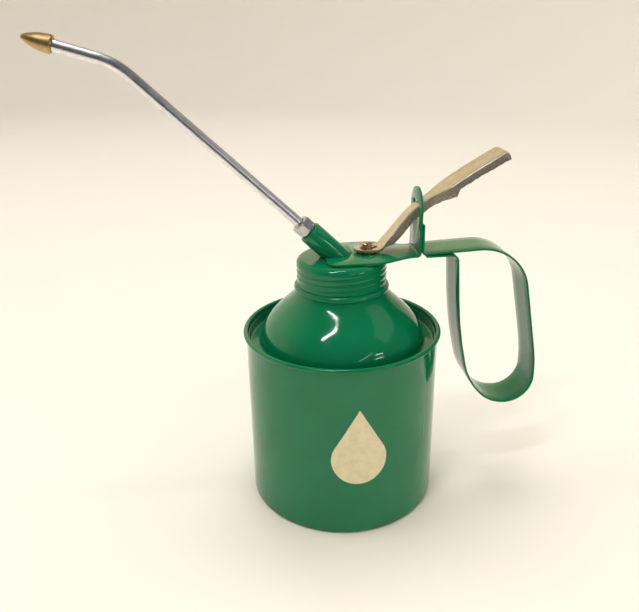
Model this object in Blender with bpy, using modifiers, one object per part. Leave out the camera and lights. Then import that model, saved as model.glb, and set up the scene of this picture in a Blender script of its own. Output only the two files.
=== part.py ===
"""Pump oiler: a green enamelled can with a screw-on lift pump, a thumb lever and an angled spout.

Frame: +Z up, origin on the ground under the middle of the can. The spout points to -X and
the handle to +X, so the XZ plane is the plane of symmetry. Sizes are written in millimetres.
"""

import math

import bmesh
import bpy
from mathutils import Matrix, Vector

MM = 0.001

# Fits
GAP = 0.3              # between pieces that touch
RUN_FIT = 0.4          # round a piece that slides or turns

# Can body: a drawn cup with a rolled rim
CAN_R = 44.6
CAN_SHEET = 0.6
RIM_BEAD_R = 1.1
RIM_TOP = 85.0
CAN_FOOT_FILLET = 1.6
CAN_STEPS = 48

# Can top: a domed cover, let into the rim, with a threaded neck
TOP_SHEET = 0.5
CHANNEL_FLOOR = 78.6
DOME_FOOT_R = 38.0
DOME_RISE_POWER = 2.2
DOME_FALL_POWER = 1.52
DOME_STEPS = 8
COLLAR_LIP = 2.75      # the rolled collar, beyond the neck
COLLAR_FOOT = 2.2      # the top of the dome, beyond the neck
COLLAR_BOTTOM = 103.6
COLLAR_TOP = 106.8
NECK_R = 19.0
NECK_RIDGE = 0.4
NECK_TOP = 116.2
NECK_RIDGES = 3

# Screw cap
THREAD_PITCH = 2.6
CAP_SHEET = 0.6
CAP_RIB = 0.22
CAP_SHOULDER = 2.6
CAP_TOP = 118.9
CAP_RIBS = 4
CAP_STEPS = 40

# Bracket: plate on the cap that bends up into a slotted tab
STRAP_WIDTH = 18.1
SHEET = 1.0
PLATE_END_X = -8.0
PLATE_HALF_WIDTH = 16.0
PLATE_CORNER = 5.0
PLATE_TAPER = 0.5      # beyond the rod
TAB_REACH = 22.6       # from the rod to the tab
TAB_TOP = 149.2
TAB_BEND_R = 3.0
SLOT_BOTTOM = 134.9
SLOT_TOP = 143.2

# Handle strap: bent from one strip
STRAP_SHEET = 0.9
STRAP_FLANGE_TOP = 133.8
STRAP_TOP_Z = 120.45
STRAP_LOW_Z = 119.25
STRAP_FLANGE_R = 3.0
STRAP_CAN_CLEAR = 7.6    # from the can wall to the return run
STRAP_SHOULDER_R = 23.5
STRAP_GRIP_RUN = 33.0
STRAP_END = 2.9        # beyond the tab
STRAP_RETURN_R = 3.2

# Spout boss and its gland
SPOUT_RISE = 44.0      # degrees above the horizontal
BOSS_X = -1.8
BOSS_R = 5.25
BOSS_LENGTH = 17.6
SPIGOT_R = 3.15
SPIGOT_LENGTH = 3.4
NUT_ACROSS_FLATS = 8.4
NUT_LENGTH = 5.6
NUT_LIP = 1.2
PACKING_LENGTH = 1.2

# Spout tube and nozzle
TUBE_R = 2.35
TUBE_WALL = 0.7
TUBE_FOOT = 10.6
TUBE_STRAIGHT = 103.1
TUBE_BEND_R = 30.0
TUBE_BEND = 27.0       # degrees
TUBE_END_RUN = 20.7
NOZZLE_R = 3.7
NOZZLE_LENGTH = 11.6
NOZZLE_TIP_R = 0.95
NOZZLE_BORE_R = 0.5
NOZZLE_GRIP = 4.2

# Pump
NECK_CLEAR = 1.0       # from the barrel to the bore of the neck
ROD_R = 1.5
HEAD_R = 3.15
HEAD_HEIGHT = 2.3
BARREL_R = 6.0
BARREL_WALL = 0.8
BARREL_FOOT = 66.0
GUIDE_R = 3.2
GUIDE_FLANGE_R = 4.3
GUIDE_FLANGE = 0.55
DELIVERY_R = 2.8
DELIVERY_BORE_R = 1.8
DELIVERY_STOP = 1.4    # short of the barrel's side, on the tube's axis
BALL_R = 1.9
BALL_LIFT = 1.5
SEAT_R = 1.4
PISTON_FOOT = 78.6
PISTON_FLANGE = 2.0
PISTON_CAGE_R = 3.2
PISTON_CAGE_TOP = 88.4
CUP_HEIGHT = 3.2
CUP_SHEET = 0.9
SPRING_WIRE_R = 0.35
SPRING_R = 2.6
SPRING_TURNS = 9
SUCTION_R = 3.0
SUCTION_WALL = 0.7
SUCTION_FOOT = 6.0
STRAINER_R = 4.2

# Lever
LEVER_SHEET = 1.0
TONGUE_REACH = 5.8     # past the rod's axis
TONGUE_HALF_WIDTH = 5.0
TONGUE_RUN = 6.5
NECK_HALF_WIDTH = 4.1
NECK_START = 12.5
SLOT_SIDE = 0.6
PAD_HALF_WIDTH = 6.7
PAD_START = 2.9        # beyond the tab, as are the next two
PAD_FULL = 12.9
LEVER_END = 36.9
PIVOT_Z = 135.4
HEEL_SLOPE = 1.17
PAD_SLOPE = 0.634
KNEE_SETBACK = 2.7     # short of the tab
KNEE_RISE = 17.95      # from the top of the tongue to the knee of the web

# Values that follow from those above
ROD_X = NECK_R - TOP_SHEET - NECK_CLEAR - BARREL_R
TAB_X = ROD_X + TAB_REACH
PLATE_TAPER_X = ROD_X + PLATE_TAPER
STRAP_END_X = TAB_X + STRAP_END
COLLAR_R = NECK_R + COLLAR_LIP
COLLAR_FOOT_R = NECK_R + COLLAR_FOOT
TONGUE_X = ROD_X - TONGUE_REACH
TONGUE_END_X = ROD_X + TONGUE_RUN
NECK_START_X = ROD_X + NECK_START
KNEE_X = TAB_X - KNEE_SETBACK
PAD_START_X = TAB_X + PAD_START
PAD_FULL_X = TAB_X + PAD_FULL
LEVER_END_X = TAB_X + LEVER_END
DELIVERY_FOOT_X = ROD_X - BARREL_R - DELIVERY_STOP
CAN_BORE_R = CAN_R - CAN_SHEET
CAP_UNDER = CAP_TOP - CAP_SHEET
CAP_BORE_R = NECK_R + NECK_RIDGE + RUN_FIT
CAP_R = CAP_BORE_R + CAP_SHEET
CAP_FOOT = COLLAR_TOP + GAP
PLATE_Z = CAP_TOP + GAP + SHEET / 2
PLATE_TOP = PLATE_Z + SHEET / 2
BARREL_TOP = CAP_UNDER - GAP
BARREL_BORE_R = BARREL_R - BARREL_WALL
BARREL_LID = 1.2
GUIDE_TOP = PLATE_TOP + GAP + GUIDE_FLANGE
GUIDE_FOOT = BARREL_TOP - BARREL_LID - GAP - GUIDE_FLANGE
TONGUE_Z = GUIDE_TOP + GAP
TONGUE_TOP = TONGUE_Z + LEVER_SHEET
HEAD_Z = TONGUE_TOP + GAP
TILT = math.radians(SPOUT_RISE - 90)
SPOUT_DIRECTION = Vector((-math.cos(math.radians(SPOUT_RISE)), 0, math.sin(math.radians(SPOUT_RISE))))
SPOUT_ROOT = Vector((BOSS_X, 0, CAP_TOP))
NUT_FOOT = BOSS_LENGTH + GAP
NUT_BORE_R = SPIGOT_R + GAP


# ---------------------------------------------------------------- scene and materials

FINISHES = {
    "enamel": ((0.012, 0.165, 0.060, 1), 0.22, 0.0),
    "nickel": ((0.53, 0.49, 0.42, 1), 0.34, 1.0),
    "chrome": ((0.72, 0.73, 0.75, 1), 0.12, 1.0),
    "zinc": ((0.62, 0.61, 0.57, 1), 0.38, 1.0),
    "brass": ((0.66, 0.44, 0.13, 1), 0.28, 1.0),
    "steel": ((0.45, 0.45, 0.46, 1), 0.35, 1.0),
    "leather": ((0.20, 0.11, 0.05, 1), 0.75, 0.0),
    "rubber": ((0.02, 0.02, 0.02, 1), 0.65, 0.0),
}


def clear_scene():
    for item in list(bpy.data.objects):
        bpy.data.objects.remove(item, do_unlink=True)


def new_collection(name, hidden=False):
    collection = bpy.data.collections.new(name)
    bpy.context.scene.collection.children.link(collection)
    collection.hide_render = hidden
    return collection


def new_material(name, finish):
    colour, roughness, metallic = FINISHES[finish]
    material = bpy.data.materials.new(f"{name}_{finish}")
    material.use_nodes = True
    shader = material.node_tree.nodes["Principled BSDF"]
    shader.inputs["Base Color"].default_value = colour
    shader.inputs["Roughness"].default_value = roughness
    shader.inputs["Metallic"].default_value = metallic
    material.diffuse_color = colour
    return material


def add_object(name, data, finish):
    item = bpy.data.objects.new(name, data)
    PARTS.objects.link(item)
    data.materials.append(new_material(name, finish))
    return item


def add_cutter(name, mesh):
    item = bpy.data.objects.new(name, mesh)
    CUTTERS.objects.link(item)
    item.hide_render = True
    item.display_type = "WIRE"
    return item


def add_axis(name, place):
    empty = bpy.data.objects.new(name, None)
    empty.empty_display_size = 10 * MM
    empty.location = Vector(place) * MM
    PARTS.objects.link(empty)
    return empty


def carry(axis, *items):
    """Parents pieces to an empty on their joint's axis, and leaves them where they are."""
    bpy.context.view_layer.update()
    for item in items:
        item.parent = axis
        item.matrix_parent_inverse = axis.matrix_world.inverted()


# ---------------------------------------------------------------- shapes

def mesh_from(name, build):
    """A mesh of what build(bm) makes, in metres."""
    bm = bmesh.new()
    build(bm)
    bmesh.ops.recalc_face_normals(bm, faces=bm.faces)
    mesh = bpy.data.meshes.new(name)
    bm.to_mesh(mesh)
    bm.free()
    return mesh


def cylinder_between(radius, start, end, steps=32):
    """A builder of a closed cylinder from one point to another."""
    start = Vector(start) * MM
    end = Vector(end) * MM
    along = end - start
    turn = along.to_track_quat("Z", "Y").to_matrix().to_4x4()
    place = Matrix.Translation((start + end) / 2) @ turn

    def build(bm):
        bmesh.ops.create_cone(
            bm, cap_ends=True, segments=steps, radius1=radius * MM, radius2=radius * MM,
            depth=along.length, matrix=place)
    return build


def box_between(low, high):
    low = Vector(low) * MM
    high = Vector(high) * MM
    size = Matrix.Diagonal((*(high - low), 1))
    place = Matrix.Translation((low + high) / 2) @ size

    def build(bm):
        bmesh.ops.create_cube(bm, size=1, matrix=place)
    return build


def cut(item, name, build, operation="DIFFERENCE"):
    cutter = add_cutter(name, mesh_from(name, build))
    boolean = item.modifiers.new(name, "BOOLEAN")
    boolean.operation = operation
    boolean.solver = "EXACT"
    boolean.object = cutter
    return cutter


def turned(name, profile, finish, steps, closed=True, place=(0, 0, 0), tilt=0):
    """Spins a profile of (radius, height) points, which runs down its outer side first."""
    mesh = bpy.data.meshes.new(name)
    points = [(radius * MM, 0, height * MM) for radius, height in profile]
    edges = [(index, index + 1) for index in range(len(points) - 1)]
    if closed:
        edges.append((len(points) - 1, 0))
    mesh.from_pydata(points, edges, [])
    item = add_object(name, mesh, finish)
    screw = item.modifiers.new("Spin", "SCREW")
    screw.steps = steps
    screw.render_steps = steps
    screw.use_merge_vertices = True
    screw.merge_threshold = 0.00001
    screw.use_smooth_shade = True
    item.location = Vector(place) * MM
    item.rotation_euler = (0, tilt, 0)
    return item


def arc(centre, radius, start, end, steps):
    """Points of an arc in a plane, from one angle in degrees to another."""
    points = []
    for step in range(steps + 1):
        angle = math.radians(start + (end - start) * step / steps)
        points.append((centre[0] + radius * math.cos(angle), centre[1] + radius * math.sin(angle)))
    return points


def bent_path(start, heading, moves, arc_step=9):
    """Points of a strip bent by ('run', length) and ('bend', radius, degrees) moves, left positive."""
    x, z = start
    points = [(x, z)]
    for move in moves:
        if move[0] == "run":
            x += move[1] * math.cos(math.radians(heading))
            z += move[1] * math.sin(math.radians(heading))
            points.append((x, z))
            continue
        radius, turn = move[1:]
        side = 1 if turn > 0 else -1
        centre_x = x - side * radius * math.sin(math.radians(heading))
        centre_z = z + side * radius * math.cos(math.radians(heading))
        steps = max(2, math.ceil(abs(turn) / arc_step))
        for step in range(1, steps + 1):
            now = heading + turn * step / steps
            x = centre_x + side * radius * math.sin(math.radians(now))
            z = centre_z - side * radius * math.cos(math.radians(now))
            points.append((x, z))
        heading += turn
    return points


def strip(name, path, half_widths, sheet, finish):
    """A bent strip of sheet metal: the path lies in the XZ plane, the width along Y."""
    bm = bmesh.new()
    rows = []
    for (x, z), half in zip(path, half_widths):
        rows.append([bm.verts.new((x * MM, side * half * MM, z * MM)) for side in (-1, 1)])
    for first, second in zip(rows, rows[1:]):
        bm.faces.new((first[0], first[1], second[1], second[0]))
    mesh = bpy.data.meshes.new(name)
    bm.to_mesh(mesh)
    bm.free()
    item = add_object(name, mesh, finish)
    solidify = item.modifiers.new("Sheet", "SOLIDIFY")
    solidify.thickness = sheet * MM
    solidify.offset = 0
    solidify.use_even_offset = True
    return item


def plate_curve(name, outline, depth, finish=None):
    """A flat outline, drawn in XY and thickened along Z to both sides."""
    curve = bpy.data.curves.new(name, "CURVE")
    curve.dimensions = "2D"
    curve.fill_mode = "BOTH"
    curve.extrude = depth / 2 * MM
    spline = curve.splines.new("POLY")
    spline.points.add(len(outline) - 1)
    for point, (x, y) in zip(spline.points, outline):
        point.co = (x * MM, y * MM, 0, 1)
    spline.use_cyclic_u = True
    return curve


def curve_mesh(name, curve, place):
    """The closed mesh of a curve, moved to its place."""
    helper = bpy.data.objects.new(name + "_curve", curve)
    CUTTERS.objects.link(helper)
    helper.hide_render = True
    helper.matrix_world = place
    bpy.context.view_layer.update()
    graph = bpy.context.evaluated_depsgraph_get()
    mesh = bpy.data.meshes.new_from_object(helper.evaluated_get(graph))
    mesh.transform(place)
    bpy.data.objects.remove(helper)
    bm = bmesh.new()
    bm.from_mesh(mesh)
    bmesh.ops.remove_doubles(bm, verts=bm.verts, dist=0.000001)
    bmesh.ops.recalc_face_normals(bm, faces=bm.faces)
    bm.to_mesh(mesh)
    bm.free()
    mesh.name = name
    return mesh


# ---------------------------------------------------------------- can

def can_body():
    """The drawn cup, with its wall rolled outwards into a bead at the rim."""
    bead_r = CAN_R + RIM_BEAD_R * 0.27
    bead_z = RIM_TOP - RIM_BEAD_R
    fillet = CAN_FOOT_FILLET
    inner_fillet = fillet - CAN_SHEET
    # The roll is closed tight, so it is one round section that the wall runs into.
    profile = arc((bead_r, bead_z), RIM_BEAD_R, 150, -70, 11)
    profile += [(CAN_R, bead_z - RIM_BEAD_R * 1.35)]
    profile += arc((CAN_R - fillet, fillet), fillet, 0, -90, 4)
    profile += [(0, 0), (0, CAN_SHEET)]
    profile += arc((CAN_BORE_R - inner_fillet, CAN_SHEET + inner_fillet), inner_fillet, -90, 0, 3)
    profile += [(CAN_BORE_R, bead_z - RIM_BEAD_R * 0.6)]
    turned("can_body", profile, "enamel", CAN_STEPS)


def dome_radius(height):
    """Outer radius of the dome at a height between its foot and the collar."""
    rise = (height - CHANNEL_FLOOR) / (COLLAR_BOTTOM - CHANNEL_FLOOR)
    share = (1 - rise ** DOME_RISE_POWER) ** DOME_FALL_POWER
    return COLLAR_FOOT_R + (DOME_FOOT_R - COLLAR_FOOT_R) * share


def offset_inside(points, distance):
    """The same run of points, moved to its right by a sheet's thickness."""
    moved = []
    for index, (x, z) in enumerate(points):
        before = points[max(index - 1, 0)]
        after = points[min(index + 1, len(points) - 1)]
        along = Vector((after[0] - before[0], after[1] - before[1])).normalized()
        moved.append((x + along.y * distance, z - along.x * distance))
    return moved


def can_top():
    """The domed cover: neck, rolled collar, dome, channel, and a flange up inside the rim."""
    flange_r = CAN_BORE_R - GAP - TOP_SHEET
    flange_top = RIM_TOP - RIM_BEAD_R * 2
    skin = [(NECK_R, NECK_TOP)]
    ridge_foot = NECK_TOP - 1.2
    for ridge in range(NECK_RIDGES):
        middle = ridge_foot - (ridge + 0.5) * THREAD_PITCH
        skin += [(NECK_R, middle + THREAD_PITCH * 0.4), (NECK_R + NECK_RIDGE, middle + THREAD_PITCH * 0.1)]
        skin += [(NECK_R + NECK_RIDGE, middle - THREAD_PITCH * 0.1)]
    skin += [(NECK_R, COLLAR_TOP + 0.2)]
    collar_half = (COLLAR_TOP - COLLAR_BOTTOM) / 2
    collar_mid = COLLAR_BOTTOM + collar_half
    skin += arc((COLLAR_R - collar_half, collar_mid), collar_half, 70, -60, 4)
    for step in range(1, DOME_STEPS + 1):
        height = COLLAR_BOTTOM - (COLLAR_BOTTOM - CHANNEL_FLOOR - 1) * (step / DOME_STEPS) ** 1.2
        skin.append((dome_radius(height), height))
    skin += arc((DOME_FOOT_R + 1.2, CHANNEL_FLOOR + 1.2), 1.2, 200, 270, 2)
    skin += arc((flange_r - 1.2, CHANNEL_FLOOR + 1.2), 1.2, -90, 0, 3)
    skin.append((flange_r, flange_top))
    back = offset_inside(skin, TOP_SHEET)
    turned("can_top", skin + back[::-1], "enamel", CAN_STEPS)


def cap_seal():
    """The soft ring that the cap squeezes on the mouth of the neck."""
    low = NECK_TOP + GAP
    high = CAP_UNDER - GAP
    inner = ROD_X + BARREL_R + RUN_FIT
    corner = (CAP_R - CAP_SHOULDER, CAP_TOP - CAP_SHOULDER)
    profile = [(inner, high)] + arc(corner, CAP_SHOULDER - CAP_SHEET - GAP, 80, 8, 4) + [(inner, low)]
    return turned("cap_seal", profile, "rubber", CAP_STEPS)


# ---------------------------------------------------------------- cap, bracket and handle

def pump_cap():
    """The pressed screw cap, with the rolled thread showing as ribs on its skirt."""
    shoulder = CAP_SHOULDER
    profile = [(0, CAP_TOP)]
    profile += arc((CAP_R - shoulder, CAP_TOP - shoulder), shoulder, 90, 0, 5)
    rib_top = CAP_TOP - shoulder - 0.5
    for rib in range(CAP_RIBS):
        crest = rib_top - (rib + 0.5) * (rib_top - CAP_FOOT) / CAP_RIBS
        quarter = (rib_top - CAP_FOOT) / CAP_RIBS / 4
        profile += [(CAP_R, crest + quarter), (CAP_R + CAP_RIB, crest), (CAP_R, crest - quarter)]
    profile += [(CAP_R, CAP_FOOT), (CAP_BORE_R, CAP_FOOT)]
    profile += arc((CAP_R - shoulder, CAP_TOP - shoulder), shoulder - CAP_SHEET, 0, 90, 4)
    profile += [(0, CAP_UNDER)]
    cap = turned("pump_cap", profile, "enamel", CAP_STEPS)
    cut(cap, "guide_hole", cylinder_between(
        GUIDE_R + GAP, (ROD_X, 0, CAP_UNDER - 2), (ROD_X, 0, CAP_TOP + 2), 24))
    cut(cap, "delivery_hole", spout_cylinder(DELIVERY_R + GAP, -6, 6))
    return cap


def spout_cylinder(radius, start, end, steps=24):
    """A builder of a cylinder on the spout's axis, between two distances from the cap's top."""
    root = SPOUT_ROOT
    return cylinder_between(radius, root + SPOUT_DIRECTION * start, root + SPOUT_DIRECTION * end, steps)


def plate_half_width(x):
    """Half the width of the bracket's plate: a rounded end, a broad seat and a taper to the tab."""
    from_end = x - PLATE_END_X
    if from_end < PLATE_CORNER:
        rest = PLATE_CORNER - from_end
        return PLATE_HALF_WIDTH - PLATE_CORNER + math.sqrt(PLATE_CORNER ** 2 - rest ** 2)
    if x <= PLATE_TAPER_X:
        return PLATE_HALF_WIDTH
    share = min(1, (x - PLATE_TAPER_X) / (TAB_X - TAB_BEND_R - PLATE_TAPER_X))
    narrow = STRAP_WIDTH / 2
    return narrow + (PLATE_HALF_WIDTH - narrow) * (1 + math.cos(math.pi * share)) / 2


def bracket():
    """The plate that seats on the cap and bends up into the slotted tab."""
    half = STRAP_WIDTH / 2
    bend_x = TAB_X - TAB_BEND_R
    corner = [PLATE_END_X + PLATE_CORNER * (1 - math.cos(math.radians(angle))) for angle in (0, 22, 45, 67, 90)]
    taper_steps = 8
    taper = [PLATE_TAPER_X + (bend_x - PLATE_TAPER_X) * step / taper_steps for step in range(taper_steps + 1)]
    path = [(x, PLATE_Z) for x in corner + taper]
    widths = [plate_half_width(x) for x, _ in path]
    bend = bent_path(path[-1], 0, [("bend", TAB_BEND_R, 90)], 15)[1:]
    path += bend
    widths += [half] * len(bend)
    round_z = TAB_TOP - half
    for angle in (0, 18, 36, 54, 70, 84):
        lift = math.radians(angle)
        path.append((TAB_X, round_z + half * math.sin(lift)))
        widths.append(half * math.cos(lift))
    item = strip("bracket", path, widths, SHEET, "enamel")
    slot_half = NECK_HALF_WIDTH + SLOT_SIDE
    reach = SHEET * 2
    cut(item, "lever_slot", box_between(
        (TAB_X - reach, -slot_half, SLOT_BOTTOM), (TAB_X + reach, slot_half, SLOT_TOP)))
    cut(item, "boss_notch", spout_cylinder(BOSS_R + GAP, -16, 16, 32))
    cut(item, "guide_seat_hole", cylinder_between(
        GUIDE_R + GAP, (ROD_X, 0, PLATE_Z - 3), (ROD_X, 0, PLATE_Z + 3), 24))
    return item


def handle_strap():
    """The handle: up behind the tab, out, down round the grip, and back under itself."""
    flange_x = TAB_X + SHEET / 2 + GAP + STRAP_SHEET / 2
    start = (flange_x, STRAP_FLANGE_TOP)
    flange = [("run", STRAP_FLANGE_TOP - STRAP_TOP_Z - STRAP_FLANGE_R), ("bend", STRAP_FLANGE_R, 92)]
    grip = [
        ("bend", STRAP_SHOULDER_R, -81),
        ("run", STRAP_GRIP_RUN),
        ("bend", 80, -11),
        ("bend", 13, -90),
        ("bend", 18, -44),
        ("bend", 34, -32),
        ("bend", 200, -10),
    ]
    return_x = bent_path(start, -90, flange + grip)[-1][0]
    top_run = CAN_R + STRAP_CAN_CLEAR + STRAP_SHEET - return_x
    moves = flange + [("run", top_run)] + grip
    x, z = bent_path(start, -90, moves)[-1]
    climb = math.radians(94)
    bend_rise = STRAP_RETURN_R * (1 + math.cos(climb))
    rise = (STRAP_LOW_Z - bend_rise - z) / math.sin(climb)
    bend_x = x + rise * math.cos(climb) - STRAP_RETURN_R * math.sin(climb)
    moves += [("run", rise), ("bend", STRAP_RETURN_R, 86), ("run", bend_x - STRAP_END_X)]
    path = bent_path(start, -90, moves)
    return strip("handle_strap", path, [STRAP_WIDTH / 2] * len(path), STRAP_SHEET, "enamel")


# ---------------------------------------------------------------- spout

def spout_boss():
    """The slanted socket on the cap, stepped down to a threaded spigot for the gland nut."""
    step = TUBE_FOOT - GAP - 0.5
    far = -BOSS_R * 2
    profile = [
        (SPIGOT_R, BOSS_LENGTH + SPIGOT_LENGTH), (SPIGOT_R, BOSS_LENGTH),
        (BOSS_R - 0.6, BOSS_LENGTH), (BOSS_R, BOSS_LENGTH - 0.6), (BOSS_R, far),
        (DELIVERY_R + GAP, far), (DELIVERY_R + GAP, step),
        (TUBE_R + GAP, step), (TUBE_R + GAP, BOSS_LENGTH + SPIGOT_LENGTH),
    ]
    boss = turned("spout_boss", profile, "enamel", 32, place=SPOUT_ROOT, tilt=TILT)
    reach = BOSS_R * 6
    cut(boss, "boss_foot", box_between(
        (BOSS_X - reach, -reach, CAP_TOP - reach), (BOSS_X + reach, reach, CAP_TOP + GAP)))
    return boss


def gland_nut():
    """The hexagon nut that squeezes the packing round the tube."""
    radius = NUT_ACROSS_FLATS / math.sqrt(3)
    foot = NUT_FOOT

    def build(bm):
        bmesh.ops.create_cone(
            bm, cap_ends=True, segments=6, radius1=radius * MM, radius2=radius * MM,
            depth=NUT_LENGTH * MM, matrix=Matrix.Translation((0, 0, (foot + NUT_LENGTH / 2) * MM)))
        bmesh.ops.bevel(
            bm, geom=bm.edges[:], offset=0.5 * MM, affect="EDGES", segments=1, profile=0.5, material=-1)
    nut = add_object("gland_nut", mesh_from("gland_nut", build), "zinc")
    nut.location = SPOUT_ROOT * MM
    nut.rotation_euler = (0, TILT, 0)
    cut(nut, "nut_thread", spout_cylinder(NUT_BORE_R, foot - 2, foot + NUT_LENGTH - NUT_LIP))
    cut(nut, "nut_mouth", spout_cylinder(TUBE_R + GAP, foot, foot + NUT_LENGTH + 2))
    return nut


def gland_packing():
    """The packing ring between the spigot and the lip of the nut."""
    top = NUT_FOOT + NUT_LENGTH - NUT_LIP - GAP
    foot = max(BOSS_LENGTH + SPIGOT_LENGTH + GAP, top - PACKING_LENGTH)
    inner = TUBE_R + GAP
    outer = NUT_BORE_R - GAP
    profile = [(inner, top), (outer, top), (outer, foot), (inner, foot)]
    return turned("gland_packing", profile, "rubber", 24, place=SPOUT_ROOT, tilt=TILT)


def spout_path():
    """Points of the tube's centre line, as (x, z)."""
    foot = SPOUT_ROOT + SPOUT_DIRECTION * TUBE_FOOT
    moves = [
        ("run", TUBE_STRAIGHT), ("bend", TUBE_BEND_R, TUBE_BEND), ("run", TUBE_END_RUN)]
    return bent_path((foot.x, foot.z), 180 - SPOUT_RISE, moves, 4.5)


def spout_tube():
    """The plated tube, straight from the gland and bent flatter towards the nozzle."""
    curve = bpy.data.curves.new("spout_tube", "CURVE")
    curve.dimensions = "3D"
    curve.bevel_depth = (TUBE_R - TUBE_WALL / 2) * MM
    curve.bevel_resolution = 3
    curve.use_fill_caps = False
    path = spout_path()
    spline = curve.splines.new("POLY")
    spline.points.add(len(path) - 1)
    for point, (x, z) in zip(spline.points, path):
        point.co = (x * MM, 0, z * MM, 1)
    tube = add_object("spout_tube", curve, "chrome")
    solidify = tube.modifiers.new("Wall", "SOLIDIFY")
    solidify.thickness = TUBE_WALL * MM
    solidify.offset = 0
    solidify.use_even_offset = True
    return tube


def nozzle_radius(share):
    """The bullet outline: full at the foot, drawn in to the tip."""
    return NOZZLE_TIP_R + (NOZZLE_R - NOZZLE_TIP_R) * math.sqrt(1 - share ** 1.8)


def nozzle_tip():
    """The turned nozzle that grips the end of the tube."""
    end_x, end_z = spout_path()[-1]
    rise = math.radians(SPOUT_RISE - TUBE_BEND)
    foot_x = end_x + NOZZLE_GRIP * math.cos(rise)
    foot_z = end_z - NOZZLE_GRIP * math.sin(rise)
    profile = []
    for step in range(9):
        share = 1 - step / 8
        profile.append((nozzle_radius(share), 0.8 + (NOZZLE_LENGTH - 0.8) * share))
    profile += [(NOZZLE_R - 0.5, 0), (TUBE_R + GAP, 0), (TUBE_R + GAP, NOZZLE_GRIP + GAP)]
    profile += [(NOZZLE_BORE_R, NOZZLE_GRIP + GAP + 1.5), (NOZZLE_BORE_R, NOZZLE_LENGTH)]
    return turned(
        "nozzle_tip", profile, "brass", 24, place=(foot_x, 0, foot_z), tilt=rise - math.pi / 2)


# ---------------------------------------------------------------- pump

def on_rod(name, profile, finish, steps, closed=True):
    return turned(name, profile, finish, steps, closed, place=(ROD_X, 0, 0))


def pump_barrel():
    """The pump's cylinder, hung under the cap, with a slanted port for the delivery tube."""
    profile = [
        (GUIDE_R + GAP, BARREL_TOP), (BARREL_R, BARREL_TOP), (BARREL_R, BARREL_FOOT),
        (BARREL_BORE_R, BARREL_FOOT), (BARREL_BORE_R, BARREL_TOP - BARREL_LID),
        (GUIDE_R + GAP, BARREL_TOP - BARREL_LID),
    ]
    barrel = on_rod("pump_barrel", profile, "steel", 32)
    reach = (ROD_X - BOSS_X) / math.cos(math.radians(SPOUT_RISE))
    cut(barrel, "delivery_port", spout_cylinder(DELIVERY_R + GAP, -reach, 0))
    return barrel


def rod_guide():
    """The hollow rivet that clamps plate, cap and barrel, and guides the rod."""
    bore = ROD_R + GAP
    profile = [
        (bore, GUIDE_TOP), (GUIDE_FLANGE_R, GUIDE_TOP), (GUIDE_FLANGE_R, GUIDE_TOP - GUIDE_FLANGE),
        (GUIDE_R, GUIDE_TOP - GUIDE_FLANGE), (GUIDE_R, GUIDE_FOOT + GUIDE_FLANGE),
        (GUIDE_FLANGE_R, GUIDE_FOOT + GUIDE_FLANGE), (GUIDE_FLANGE_R, GUIDE_FOOT), (bore, GUIDE_FOOT),
    ]
    return on_rod("rod_guide", profile, "brass", 24)


def delivery_tube():
    """The short tube that carries oil from the barrel's port up into the boss."""
    foot = (BOSS_X - DELIVERY_FOOT_X) / math.cos(math.radians(SPOUT_RISE))
    top = TUBE_FOOT - GAP - 0.5 - GAP
    profile = [
        (DELIVERY_BORE_R, top), (DELIVERY_R, top), (DELIVERY_R, foot), (DELIVERY_BORE_R, foot)]
    return turned("delivery_tube", profile, "brass", 24, place=SPOUT_ROOT, tilt=TILT)


def foot_valve():
    """The valve body at the foot of the barrel: flange, seat and ball chamber."""
    outer = BARREL_BORE_R - GAP
    flange_top = BARREL_FOOT - GAP
    flange_foot = flange_top - 1.3
    chamber = BALL_R + RUN_FIT
    seat = BARREL_FOOT + 2
    top = foot_ball_z() + BALL_R + BALL_LIFT + 1.6
    stub_foot = flange_foot - 6
    stub_r = SUCTION_R - SUCTION_WALL - GAP
    profile = [
        (chamber, top), (outer, top), (outer, flange_top), (BARREL_R, flange_top),
        (BARREL_R, flange_foot), (stub_r, flange_foot), (stub_r, stub_foot),
        (SEAT_R, stub_foot), (SEAT_R, seat), (chamber, seat + 0.6),
    ]
    return on_rod("foot_valve", profile, "brass", 24)


def ball_rest(seat):
    """Height of a ball's centre on the edge of its seat, with a gap that keeps it clear."""
    return seat + math.sqrt(BALL_R ** 2 - SEAT_R ** 2) + GAP


def foot_ball_z():
    return ball_rest(BARREL_FOOT + 2)


def piston_ball_z():
    return ball_rest(PISTON_FOOT + PISTON_FLANGE)


def ball(name, height):
    def build(bm):
        bmesh.ops.create_uvsphere(bm, u_segments=16, v_segments=10, radius=BALL_R * MM)
    item = add_object(name, mesh_from(name, build), "steel")
    item.location = (ROD_X * MM, 0, height * MM)
    return item


def ball_stop():
    """The perforated washer that keeps the foot ball in its chamber."""
    low = foot_ball_z() + BALL_R + BALL_LIFT + GAP
    profile = [(SEAT_R, low + 0.8), (BALL_R + RUN_FIT - 0.15, low + 0.8), (BALL_R + RUN_FIT - 0.15, low), (SEAT_R, low)]
    return on_rod("ball_stop", profile, "brass", 24)


def suction_tube():
    """The pick-up tube from the foot valve to the floor of the can."""
    top = BARREL_FOOT - GAP - 1.3 - GAP
    inner = SUCTION_R - SUCTION_WALL
    profile = [(inner, top), (SUCTION_R, top), (SUCTION_R, SUCTION_FOOT), (inner, SUCTION_FOOT)]
    return on_rod("suction_tube", profile, "steel", 24)


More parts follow.
